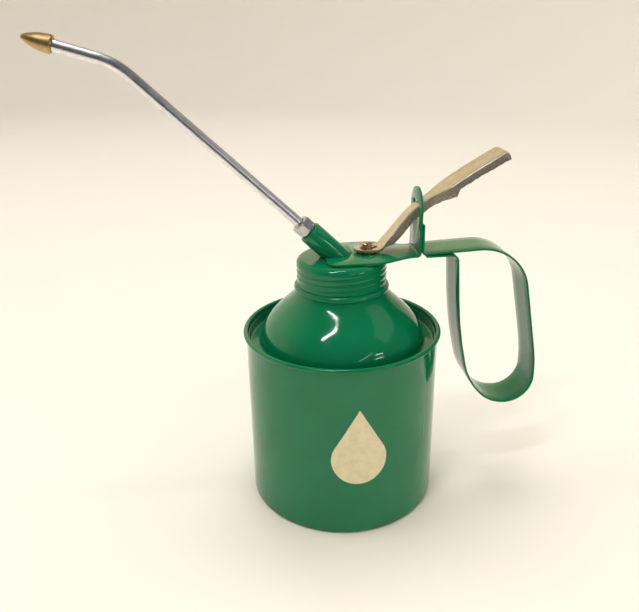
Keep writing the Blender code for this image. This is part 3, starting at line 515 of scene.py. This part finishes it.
def can_body():
    """The drawn cup with its rolled rim and softly rounded foot."""
    sheet, bead_r, fillet = 0.6, 1.1, 1.6
    bead = (CAN_R + bead_r * 0.27, RIM_TOP - bead_r)
    profile = arc(bead, bead_r, 150, -62, 20)
    profile += [(CAN_R + 0.10, bead[1] - bead_r * 1.25), (CAN_R, bead[1] - bead_r * 1.7)]
    profile += [(CAN_R, height) for height in (66, 46, 26, 8)]
    profile += arc((CAN_R - fillet, fillet), fillet, 0, -90, 7)
    profile += [(CAN_R * 0.6, 0), (0, 0), (0, sheet), (CAN_R * 0.6, sheet)]
    profile += arc((CAN_R - fillet, fillet), fillet - sheet, -90, 0, 5)
    profile += [(CAN_R - sheet, height) for height in (8, 46, bead[1] - bead_r * 0.6)]
    piece("can_body_drawn", spun(profile, 160), can_enamel(), "can", ["can_body"], 40)


def dome_radius(height, foot_z):
    rise = (height - foot_z) / (103.6 - foot_z)
    return 21.2 + (38.0 - 21.2) * (1 - rise ** 2.2) ** 1.52


def can_top(finish):
    """The domed cover: neck, rolled collar, dome, and the channel inside the rim."""
    sheet, foot_z = 0.5, 78.6
    flange_r = CAN_R - 0.6 - 0.3 - sheet
    skin = [(19.0, NECK_TOP)]
    for ridge in range(3):
        middle = NECK_TOP - 1.2 - (ridge + 0.5) * 2.6
        for step in range(9):
            share = step / 8
            skin.append((19.0 + 0.38 * math.sin(math.pi * share) ** 2, middle + 1.1 - 2.2 * share))
    skin += arc((20.15, 105.2), 1.6, 80, -58, 12)
    for step in range(2, 31):
        share = step / 30
        height = 103.6 - (103.6 - foot_z - 1) * share ** 1.2
        skin.append((dome_radius(height, foot_z), height))
    skin += arc((39.2, foot_z + 1.2), 1.2, 200, 270, 4)
    skin += arc((flange_r - 1.2, foot_z + 1.2), 1.2, -90, 0, 6)
    skin.append((flange_r, RIM_TOP - 2.3))
    bm = spun(skin, 160, closed=False)
    bmesh.ops.recalc_face_normals(bm, faces=bm.faces)
    cover = piece("can_top_domed", bm, finish, "can", ["can_top"], 50)
    top = max(cover.data.polygons, key=lambda face: face.center.z)
    inward = top.normal.x * top.center.x + top.normal.y * top.center.y < 0
    thicken(cover, sheet, 1.0 if inward else -1.0)
    settle(cover, 50)


# ---------------------------------------------------------------- cap, bracket and handle

def pump_cap(finish):
    """The screw cap, its rolled thread showing as a slow spiral of ribs on the skirt."""
    valley, crest, shoulder, sheet = 20.30, CAP_HIGH[0] - 0.14, 2.6, 0.6
    foot = CAP_LOW[2]
    profile = [(0, CAP_TOP), (9, CAP_TOP)]
    profile += arc((20.4 - shoulder, CAP_TOP - shoulder), shoulder, 90, 0, 10)
    rows = 64
    top = CAP_TOP - shoulder
    profile += [(20.4, top - (top - foot) * step / rows) for step in range(1, rows + 1)]
    profile += [(19.82, foot), (19.82, top)]
    profile += arc((20.4 - shoulder, top), shoulder - sheet, 0, 90, 6)[1:]
    profile += [(9, CAP_TOP - sheet), (0, CAP_TOP - sheet)]
    bm = spun(profile, 160, closed=False)
    bmesh.ops.remove_doubles(bm, verts=bm.verts, dist=0.000001)
    for vert in bm.verts:
        radius = math.hypot(vert.co.x, vert.co.y) * 1000
        height = vert.co.z * 1000
        if abs(radius - 20.4) > 0.05 or height > top + 0.01:
            continue
        turn = math.atan2(vert.co.y, vert.co.x) / math.tau
        wave = 0.5 + 0.5 * math.cos(math.tau * ((height - 116.2) / 2.6 - turn - 0.25))
        share = min(1, (top + 0.35 - height) / 1.2) * min(1, (height - foot) / 0.9 + 0.15)
        share = max(0.0, share)
        made = 20.4 + ((valley + (crest - valley) * wave ** 1.6) - 20.4) * share
        vert.co.x *= made / radius
        vert.co.y *= made / radius
    cap = piece("pump_cap_ribbed", bm, finish, "head", ["pump_cap"], 45)
    cut_away(
        cap, rod_between(3.5, (ROD_X, 0, CAP_TOP - 3), (ROD_X, 0, CAP_TOP + 3)),
        rod_between(3.1, SPOUT_ROOT - SPOUT_TURN @ Vector((0, 0, 6)), SPOUT_ROOT + SPOUT_TURN @ Vector((0, 0, 6))))


def plate_half_width(x, start):
    """A rounded end, a broad seat on the cap, and a hollow-sided taper to the tab."""
    corner, broad, narrow = 5.0, 16.0, STRAP_HIGH[1]
    if x - start < corner:
        return broad - corner + math.sqrt(max(0.0, corner ** 2 - (corner - (x - start)) ** 2))
    if x <= ROD_X + 0.5:
        return broad
    share = min(1, (x - ROD_X - 0.5) / (TAB_X - 1.3 - ROD_X - 0.5))
    return narrow + (broad - narrow) * (1 + math.cos(math.pi * share)) / 2


def bracket(finish):
    """The plate on the cap, bent up into the tab that the lever passes through."""
    start = BRACKET_LOW[0]
    plate_z = BRACKET_LOW[2] + 0.5
    half = STRAP_HIGH[1]
    path = [(start + 5 * (1 - math.cos(math.radians(angle))), plate_z) for angle in range(0, 91, 9)]
    first_x = path[-1][0]
    bend_x = TAB_X - 1.3
    path += [(first_x + (bend_x - first_x) * step / 30, plate_z) for step in range(1, 31)]
    widths = [plate_half_width(x, start) for x, _ in path]
    bend = bent_path(path[-1], 0, [("bend", 1.3, 90)], 6)[1:]
    path += bend
    widths += [half] * len(bend)
    round_z = BRACKET_HIGH[2] - half
    for angle in range(0, 85, 6):
        lift = math.radians(angle)
        path.append((TAB_X, round_z + half * math.sin(lift)))
        widths.append(half * math.cos(lift))
    item = piece(
        "bracket_pressed", swept_strip(path, widths, (-1, 0, 1)), finish, "head", ["bracket"])
    thicken(item, 1.0)
    slot = block_between((TAB_X - 2, -4.7, 134.9), (TAB_X + 2, 4.7, 143.2), 1.2, 0)
    reach = SPOUT_TURN @ Vector((0, 0, 16))
    notch = rod_between(5.55, SPOUT_ROOT - reach, SPOUT_ROOT + reach)
    guide = rod_between(3.5, (ROD_X, 0, plate_z - 3), (ROD_X, 0, plate_z + 3))
    cut_away(item, slot, notch, guide)
    ease_edges(item, 0.16)
    settle(item)


def handle_strap(finish):
    """The handle, bent from one strip with its edges just broken."""
    sheet = 0.9
    start = (TAB_X + 0.5 + 0.3 + sheet / 2, STRAP_HIGH[2])
    flange = [("run", STRAP_HIGH[2] - 120.45 - 1.2), ("bend", 1.2, 92)]
    grip = [
        ("bend", 23.5, -81), ("run", 33.0), ("bend", 80, -11), ("bend", 13, -90),
        ("bend", 18, -44), ("bend", 34, -32), ("bend", 200, -10)]
    return_x = bent_path(start, -90, flange + grip)[-1][0]
    moves = flange + [("run", CAN_R + 7.6 + sheet - return_x)] + grip
    x, z = bent_path(start, -90, moves)[-1]
    climb = math.radians(94)
    rise = (119.25 - 3.2 * (1 + math.cos(climb)) - z) / math.sin(climb)
    bend_x = x + rise * math.cos(climb) - 3.2 * math.sin(climb)
    moves += [("run", rise), ("bend", 3.2, 86), ("run", bend_x - TAB_X - 2.9)]
    path = bent_path(start, -90, moves)
    item = piece(
        "handle_strap_bent", swept_strip(path, [STRAP_HIGH[1]] * len(path), (-1, -0.5, 0, 0.5, 1)), finish,
        "head", ["handle_strap"])
    thicken(item, sheet)
    ease_edges(item, 0.14)
    settle(item)


# ---------------------------------------------------------------- spout

def spout_boss(finish):
    """The slanted socket, with the step and the spigot for the gland nut."""
    radius, length, spigot = 5.25, 17.6, 3.15
    profile = [(spigot - 0.2, length + 3.4), (spigot, length + 3.2), (spigot, length)]
    profile += [(radius - 1.0, length)] + arc((radius - 0.7, length - 0.7), 0.7, 90, 0, 5)
    profile += [(radius, 8), (radius, 2), (radius, -10.5), (3.1, -10.5), (3.1, 9.8)]
    profile += [(2.65, 9.8), (2.65, length + 3.4)]
    bm = spun(profile, 72)
    bmesh.ops.transform(bm, matrix=SPOUT_PLACE, verts=bm.verts)
    boss = piece("spout_boss_socket", bm, finish, "head", ["spout_boss"])
    cut_away(boss, block_between((-35, -15, CAP_TOP - 30), (30, 15, CAP_TOP + 0.3)))
    ease_edges(boss, 0.12, 2, 50)
    settle(boss)


def gland_nut(finish):
    """The hexagon nut, its corners chamfered by the lathe at both ends."""
    apothem, length, foot = 4.2, 5.3, 18.2
    corner = apothem / math.cos(math.radians(30))
    rows = 14
    outer = [(corner, foot + length - length * step / rows) for step in range(rows + 1)]
    profile = [(2.65, foot + length), (3.4, foot + length)] + outer
    profile += [(3.45, foot), (3.45, foot + length - 1.2), (2.65, foot + length - 1.2)]
    bm = spun(profile, 120)
    for vert in bm.verts:
        radius = math.hypot(vert.co.x, vert.co.y) * 1000
        if radius < corner - 0.1:
            continue
        angle = (math.degrees(math.atan2(vert.co.y, vert.co.x)) + 30) % 60 - 30
        flat = apothem / math.cos(math.radians(angle))
        height = vert.co.z * 1000 - foot
        limit = min(apothem - 0.35 + (length - height) * 1.5, apothem + 0.05 + height * 1.7)
        made = min(flat, limit)
        vert.co.x *= made / radius
        vert.co.y *= made / radius
    bmesh.ops.rotate(bm, verts=bm.verts, cent=(0, 0, 0), matrix=Matrix.Rotation(math.radians(12), 3, "Z"))
    bmesh.ops.transform(bm, matrix=SPOUT_PLACE, verts=bm.verts)
    piece("gland_nut_hexagon", bm, finish, "head", ["gland_nut"], 22)


def spout_path():
    foot = SPOUT_ROOT + SPOUT_TURN @ Vector((0, 0, 10.6))
    moves = [("run", 40.0), ("run", 63.1), ("bend", 30.0, 27.0), ("run", 20.7)]
    return bent_path((foot.x, foot.z), 180 - math.degrees(SPOUT_RISE), moves, 2.0)


def spout_tube(finish):
    """The bright drawn tube."""
    tube = piece(
        "spout_tube_drawn", swept_tube(spout_path(), 2.35, 48, caps=False), finish, "spout", ["spout_tube"],
        60)
    thicken(tube, 0.7, -1.0)
    settle(tube, 60)


def nozzle_place():
    end_x, end_z = spout_path()[-1]
    rise = SPOUT_RISE - math.radians(27)
    foot = Vector((end_x + 4.2 * math.cos(rise), 0, end_z - 4.2 * math.sin(rise)))
    return Matrix.Translation(foot * MM) @ Matrix.Rotation(rise - math.pi / 2, 4, "Y")


def nozzle(finish):
    """The turned bullet nozzle, with a small land and chamfer where it meets the tube."""
    length, base, tip = 11.6, 3.7, 0.75
    profile = [(0.5, length), (tip, length - 0.12)]
    for step in range(1, 29):
        share = step / 28
        profile.append((tip + (base - tip) * math.sin(math.pi / 2 * share ** 0.8), 0.8 + (length - 1.0) * (1 - share)))
    profile += [(base, 0.6), (base - 0.35, 0.05), (base - 0.7, 0), (2.65, 0), (2.65, 4.5), (0.5, 6.0)]
    bm = spun(profile, 96)
    bmesh.ops.transform(bm, matrix=nozzle_place(), verts=bm.verts)
    piece("nozzle_tip_turned", bm, finish, "spout", ["nozzle_tip"], 40)


# ---------------------------------------------------------------- lever and plunger

def lever_half_width(x):
    """Tongue, neck and thumb pad, eased from one to the next."""
    tongue, neck, pad = 5.0, 4.1, 7.4
    x_from_end = x - LEVER_LOW[0]
    if x_from_end < tongue:
        return math.sqrt(max(0.04, tongue ** 2 - (tongue - x_from_end) ** 2))
    if x < ROD_X + 6.5:
        return tongue
    if x < TAB_X - 3.5:
        return tongue + (neck - tongue) * (x - ROD_X - 6.5) / (TAB_X - 3.5 - ROD_X - 6.5)
    if x < TAB_X + 2.9:
        return neck
    share = min(1.0, (x - TAB_X - 2.9) / 10)
    wide = neck + (pad - neck) * (3 * share ** 2 - 2 * share ** 3)
    end = LEVER_HIGH[0] - x
    if end < 3.4:
        wide -= 2.2 * (1 - math.sqrt(max(0.0, 1 - (1 - end / 3.4) ** 2)))
    return wide


def lever_path():
    """The lever's upper face from the end of the tongue to the end of the pad."""
    top = 122.35
    knee_x = TAB_X - 2.7
    heel_slope, pad_slope, climb_z = 1.25, 0.605, 18.2
    heel_x = knee_x - climb_z / heel_slope
    heel, pad = math.degrees(math.atan(heel_slope)), math.degrees(math.atan(pad_slope))
    heel_cut = 3.5 * math.tan(math.radians(heel / 2))
    knee_cut = 44 * math.tan(math.radians((heel - pad) / 2))
    climb = math.hypot(climb_z, knee_x - heel_x)
    start = LEVER_LOW[0]
    moves = [("run", 0.15), ("run", 0.35), ("run", 0.7), ("run", 1.0), ("run", 1.4), ("run", 1.4)]
    done = sum(move[1] for move in moves)
    moves += [("run", (heel_x - heel_cut - start - done) / 3)] * 3
    moves += [("bend", 3.5, heel)] + [("run", (climb - heel_cut - knee_cut) / 4)] * 4
    moves += [("bend", 44.0, pad - heel)]
    pad_run = (LEVER_HIGH[0] - 2.2 - knee_x) / math.cos(math.radians(pad)) - knee_cut
    moves += [("run", pad_run / 26)] * 26
    path = bent_path((start, top), 0, moves, 3)
    crown = []
    for x, z in path:
        along = (x - TAB_X - 8) / 28
        lift = 0.55 * math.sin(math.pi * along) if 0 < along < 1 else 0.0
        crown.append((x, z - 0.25 + lift if x > TAB_X else z))
    return crown


def flange_depth(x):
    """How far the lever's side walls hang below its upper face, square to it."""
    if x < ROD_X + 6.3:
        return 0.0
    if x < ROD_X + 9:
        return 3.7 * (x - ROD_X - 6.3) / 2.7
    if x < TAB_X + 8:
        return 3.7 + 0.2 * (x - ROD_X - 9) / 20
    if x < TAB_X + 13.4:
        return 3.9 + 1.3 * math.sin(math.pi * 0.5 * (x - TAB_X - 8) / 5.4) ** 2
    if x < TAB_X + 15:
        return 5.2 - 2.0 * (x - TAB_X - 13.4) / 1.6
    return 3.2 + 0.5 * min(1.0, (x - TAB_X - 15) / 20)


def nearest_row(vert, path):
    """The row of the swept lever that a point belongs to."""
    x, z = vert.co.x * 1000, vert.co.z * 1000
    return min(range(len(path)), key=lambda row: (x - path[row][0]) ** 2 + (z - path[row][1]) ** 2)


def lever(finish):
    """The pressed lever: a flat tongue, a steep channelled neck and a broad thumb pad."""
    sheet = 1.0
    path = lever_path()
    widths = [lever_half_width(x) for x, _ in path]
    bm = swept_strip(path, widths, (-1, -0.72, 0, 0.72, 1))
    start = next(index for index, (x, _) in enumerate(path) if flange_depth(x) > 0)
    rows = {}
    for vert in bm.verts:
        index = nearest_row(vert, path)
        rows.setdefault(index, []).append(vert)
    for side in (-1, 1):
        rim = []
        for index in range(start - 1, len(path)):
            rim.append(max(rows[index], key=lambda vert: vert.co.y * side))
        edges = [edge for edge in bm.edges if edge.verts[0] in rim and edge.verts[1] in rim]
        made = bmesh.ops.extrude_edge_only(bm, edges=edges)["geom"]
        for vert in [item for item in made if isinstance(item, bmesh.types.BMVert)]:
            index = nearest_row(vert, path)
            before, after = path[max(index - 1, 0)], path[min(index + 1, len(path) - 1)]
            along = Vector((after[0] - before[0], 0, after[1] - before[1])).normalized()
            down = Vector((along.z, 0, -along.x))
            depth = max(flange_depth(path[index][0]), 0.02)
            wander = 0.16 * math.sin(path[index][0] * 1.9) + 0.10 * math.sin(path[index][0] * 4.3 + side)
            vert.co += down * (depth + (wander if depth > 3 else 0)) * MM
            vert.co.y += side * 0.05 * MM
    # The nose of the pad is folded down over the ends of the side walls.
    nose = rows[len(path) - 1]
    corners = {max(nose, key=lambda vert: vert.co.y), min(nose, key=lambda vert: vert.co.y)}
    nose_edges = [edge for edge in bm.edges if edge.verts[0] in nose and edge.verts[1] in nose]
    made = bmesh.ops.extrude_edge_only(bm, edges=nose_edges)["geom"]
    for vert in [item for item in made if isinstance(item, bmesh.types.BMVert)]:
        vert.co += Vector((1.6, 0, -2.0)) * MM
    creases = [edge for edge in bm.edges if len(edge.link_faces) == 2 and edge.calc_face_angle(0) > math.radians(50)
               and edge.verts[0].co.x * 1000 > ROD_X + 9]
    bmesh.ops.bevel(bm, geom=creases, offset=0.7 * MM, affect="EDGES", segments=3, profile=0.5, material=-1)
    bmesh.ops.recalc_face_normals(bm, faces=bm.faces)
    flat = max(bm.faces, key=lambda face: face.calc_area())
    if flat.normal.z < 0:
        bmesh.ops.reverse_faces(bm, faces=bm.faces)
    mesh = bpy.data.meshes.new("lever_pressed")
    bm.to_mesh(mesh)
    bm.free()
    mesh.materials.append(finish)
    item = bpy.data.objects.new("lever_pressed", mesh)
    scene.collection.objects.link(item)
    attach(item, "lever")
    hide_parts("lever")
    thicken(item, sheet, -1.0)
    slot = bmesh.new()
    bmesh.ops.create_cone(slot, cap_ends=True, segments=40, radius1=1.9 * MM, radius2=1.9 * MM, depth=6 * MM)
    bmesh.ops.translate(slot, verts=slot.verts, vec=(ROD_X * MM, 0, 121.85 * MM))
    bmesh.ops.translate(slot, verts=[vert for vert in slot.verts if vert.co.x > ROD_X * MM], vec=(2.9 * MM, 0, 0))
    cut_away(item, slot)
    ease_edges(item, 0.22, 3, 40)
    settle(item, 36)


def plunger(finish):
    """The rod with its hammered head, the plug at its foot, and a thin washer face under the head."""
    head_z = HEAD_HIGH[2] - 2.3
    foot = HEAD_LOW[2]
    profile = [(0, HEAD_HIGH[2] - 0.12)]
    profile += [(0.8, HEAD_HIGH[2] - 0.05), (1.6, HEAD_HIGH[2] - 0.18), (2.2, HEAD_HIGH[2] - 0.55)]
    profile += [(2.55, HEAD_HIGH[2] - 1.1), (2.6, head_z + 0.75), (3.0, head_z + 0.62), (3.12, head_z + 0.35)]
    profile += [(3.1, head_z), (1.5, head_z), (1.5, 88.4), (2.0, 88.4), (2.0, foot), (0, foot)]
    bm = spun(profile, 64, closed=False)
    bmesh.ops.remove_doubles(bm, verts=bm.verts, dist=0.000001)
    top = HEAD_HIGH[2]
    for vert in bm.verts:
        height = vert.co.z * 1000
        if height < head_z + 0.9:
            continue
        angle = math.atan2(vert.co.y, vert.co.x)
        share = 0.10 * math.sin(angle * 3 + 0.6) + 0.07 * math.sin(angle * 5 + 2.0)
        vert.co.x *= 1 + share * 0.5
        vert.co.y *= 1 + share * 0.5
        vert.co.z = min(top, height + share * 1.6 * (math.hypot(vert.co.x, vert.co.y) * 1000 / 2.6)) * MM
    bmesh.ops.translate(bm, verts=bm.verts, vec=(ROD_X * MM, 0, 0))
    piece("plunger_rod_peened", bm, finish, "plunger", ["plunger_rod"], 45)


# ---------------------------------------------------------------- stage, light and camera

def floor_and_backdrop():
    """A pale floor and, all round it, a sweep that rises far behind."""
    finish = Finish("backdrop_paper", (0.80, 0.755, 0.68), 0.9)
    finish.colour(finish.mix(finish.noise(60, 3.0), (0.79, 0.755, 0.69), (0.81, 0.775, 0.71)))
    middle = Matrix.Translation((-0.45, 0.30, 0))
    floor = bmesh.new()
    bmesh.ops.create_circle(floor, cap_ends=True, segments=128, radius=0.7, matrix=middle)
    profile = [(700, 0), (1000, 0), (1400, 0)] + arc((1400, 900), 900, -90, 0, 16)[1:] + [(2300, 3000)]
    sweep = spun(profile, 128, closed=False)
    bmesh.ops.transform(sweep, matrix=middle, verts=sweep.verts)
    for name, bm in (("floor", floor), ("backdrop", sweep)):
        mesh = bpy.data.meshes.new(name)
        bm.to_mesh(mesh)
        bm.free()
        mesh.materials.append(finish.material)
        mesh.shade_smooth()
        item = bpy.data.objects.new(name, mesh)
        scene.collection.objects.link(item)
    # The far sweep is kept out of the gloss, so that the lamps and the room alone shape it.
    item.visible_glossy = False


def lamp(name, azimuth, elevation, distance, size, power,
         colour=(1, 0.985, 0.96), mirrored=False, target=(0, 0, 0.09)):
    """A rectangular lamp placed by its direction; a soft one gives light but no hard reflection."""
    light = bpy.data.lights.new(name, "AREA")
    light.shape = "RECTANGLE"
    light.size, light.size_y = size
    light.energy = power
    light.color = colour
    turn, rise = math.radians(azimuth), math.radians(elevation)
    away = Vector((math.sin(turn) * math.cos(rise), -math.cos(turn) * math.cos(rise), math.sin(rise)))
    item = bpy.data.objects.new(name, light)
    item.location = Vector(target) + away * distance
    item.rotation_euler = away.to_track_quat("Z", "Y").to_euler()
    item.visible_glossy = mirrored
    item.visible_camera = False
    scene.collection.objects.link(item)
    return item


def strip_lamp(name, start, end, width, power):
    """A narrow bright lamp that stretches between two directions, seen in the gloss."""
    ends = []
    for azimuth, elevation in (start, end):
        turn, rise = math.radians(azimuth), math.radians(elevation)
        ends.append(Vector((math.sin(turn) * math.cos(rise), -math.cos(turn) * math.cos(rise), math.sin(rise))))
    item = lamp(name, 0, 0, 1, ((ends[1] - ends[0]).length, width), power, (1, 1, 1), True)
    middle = ((ends[0] + ends[1]) / 2).normalized()
    along = (ends[1] - ends[0]).normalized()
    along = (along - middle * along.dot(middle)).normalized()
    axes = Matrix((along, middle.cross(along), middle)).transposed().to_4x4()
    item.matrix_world = Matrix.Translation(Vector((0, 0, 0.09)) + middle) @ axes
    return item


def room_light():
    """A warm room: bright near the horizon and behind, dark overhead and in front."""
    world = bpy.data.worlds.new("studio")
    scene.world = world
    world.use_nodes = True
    nodes, links = world.node_tree.nodes, world.node_tree.links
    direction = nodes.new("ShaderNodeTexCoord").outputs["Generated"]
    split = nodes.new("ShaderNodeSeparateXYZ")
    links.new(direction, split.inputs[0])

    def ramp(source, stops):
        """Colours by height, from straight down at 0 to straight up at 1."""
        node = nodes.new("ShaderNodeValToRGB")
        height = nodes.new("ShaderNodeMapRange")
        height.inputs["From Min"].default_value = -1.0
        links.new(source, height.inputs["Value"])
        links.new(height.outputs["Result"], node.inputs["Fac"])
        elements = node.color_ramp.elements
        for element, (place, colour) in zip(elements, (stops[0], stops[-1])):
            element.position, element.color = place, (*colour, 1)
        for place, colour in stops[1:-1]:
            elements.new(place).color = (*colour, 1)
        return node.outputs["Color"]

    front = ramp(split.outputs["Z"], [
        (0.0, (0.05, 0.05, 0.048)), (0.5, (0.05, 0.05, 0.048)), (0.58, (0.10, 0.10, 0.095)),
        (0.70, (0.06, 0.06, 0.057)), (1.0, (0.10, 0.10, 0.10))])
    behind = ramp(split.outputs["Z"], [
        (0.0, (1.15, 1.05, 0.88)), (0.5, (1.05, 0.96, 0.78)), (0.70, (1.05, 0.84, 0.53)),
        (0.86, (0.62, 0.52, 0.36)), (1.0, (0.12, 0.115, 0.11))])
    side = nodes.new("ShaderNodeMapRange")
    side.interpolation_type = "SMOOTHSTEP"
    side.inputs["From Min"].default_value = -0.10
    side.inputs["From Max"].default_value = 0.75
    towards = nodes.new("ShaderNodeVectorMath")
    towards.operation = "DOT_PRODUCT"
    towards.inputs[1].default_value = (-0.34, 0.94, 0)
    links.new(direction, towards.inputs[0])
    links.new(towards.outputs["Value"], side.inputs["Value"])
    mix = nodes.new("ShaderNodeMix")
    mix.data_type = "RGBA"
    links.new(side.outputs["Result"], mix.inputs["Factor"])
    links.new(front, mix.inputs[6])
    links.new(behind, mix.inputs[7])
    links.new(mix.outputs[2], nodes["Background"].inputs["Color"])


def lights():
    scene.view_settings.view_transform = "Standard"
    room_light()
    lamp("soft_left", -105, 42, 2.4, (1.5, 1.2), 16)
    lamp("soft_right", 100, 42, 2.4, (1.5, 1.2), 11)
    lamp("soft_top", 170, 66, 2.4, (1.5, 1.2), 26)
    lamp("soft_front", -10, 50, 2.4, (2.0, 1.3), 4)
    lamp("side_panel", 88, 43, 1.0, (0.75, 0.35), 0.42, mirrored=True)
    strip_lamp("streak", (-22, 67), (-50, 53), 0.04, 2.2)
    strip_lamp("streak_hook", (-46, 76), (-24, 69), 0.016, 0.3)
    strip_lamp("overhead", (-80, 84), (80, 84), 0.06, 1.0)
    strip_lamp("tube_line", (14, 12), (36, 26), 0.05, 0.25)
    strip_lamp("glint_upper", (38, 19), (50, 19), 0.045, 0.35)
    strip_lamp("glint_lower", (36, 9), (48, 9), 0.04, 0.3)


def camera():
    """The viewpoint, worked out from how the object's own circles and edges look."""
    turn, rise, roll = math.radians(-6.82), math.radians(22.69), math.radians(-0.89)
    back = Vector((math.sin(turn) * math.cos(rise), -math.cos(turn) * math.cos(rise), math.sin(rise)))
    right = Vector((0, 0, 1)).cross(back).normalized()
    up = back.cross(right)
    side = right * math.cos(roll) + up * math.sin(roll)
    top = up * math.cos(roll) - right * math.sin(roll)
    data = bpy.data.cameras.new("camera")
    data.sensor_width = 36
    data.lens = 683.08 * 36 / 639
    data.clip_start, data.clip_end = 0.01, 20
    item = bpy.data.objects.new("camera", data)
    axes = Matrix((side, top, back)).transposed().to_4x4()
    item.matrix_world = Matrix.Translation(Vector((-44.92, -289.57, 217.05)) * MM) @ axes
    scene.collection.objects.link(item)
    scene.camera = item


# ---------------------------------------------------------------- build

def repaint(node, material):
    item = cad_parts[node]
    for slot in item.material_slots:
        slot.material = material


def build():
    green = enamel("top_enamel").material
    handled = enamel("handle_enamel", wear=1.0).material
    brass = plated("turned_brass", (0.60, 0.36, 0.10), 0.20, 0.34, tarnish=(0.22, 0.11, 0.035))
    steel = plated("plain_steel", (0.42, 0.41, 0.40), 0.28, 0.45, tarnish=(0.16, 0.13, 0.11))
    chrome = plated(
        "bright_tube", (0.86, 0.85, 0.89), 0.28, 0.36, brushed=(SPOUT_PLACE, (1, 1, 0.08)), grain=0.0006)
    zinc = plated("machined_zinc", (0.70, 0.69, 0.66), 0.22, 0.38, pits=0.05)
    nozzle_brass = plated(
        "nozzle_brass", (0.62, 0.45, 0.20), 0.38, 0.48, tarnish=(0.42, 0.28, 0.12), brushed=(nozzle_place(), (0.3, 0.3, 4)))
    can_body()
    can_top(green)
    pump_cap(green)
    bracket(handled)
    handle_strap(handled)
    spout_boss(green)
    gland_nut(zinc)
    spout_tube(chrome)
    nozzle(nozzle_brass)
    lever(satin_nickel())
    plunger(peened_brass())
    for node in ("rod_guide", "delivery_tube", "foot_valve", "ball_stop", "strainer", "piston"):
        repaint(node, brass)
    for node in ("pump_barrel", "suction_tube", "foot_ball", "piston_ball", "plunger_spring"):
        repaint(node, steel)
    repaint("cap_seal", soft_black("seal_rubber"))
    repaint("gland_packing", soft_black("packing_cord", (0.05, 0.045, 0.035)))
    repaint("cup_leather", soft_black("oiled_leather", (0.09, 0.045, 0.02)))
    floor_and_backdrop()
    lights()
    camera()


build()
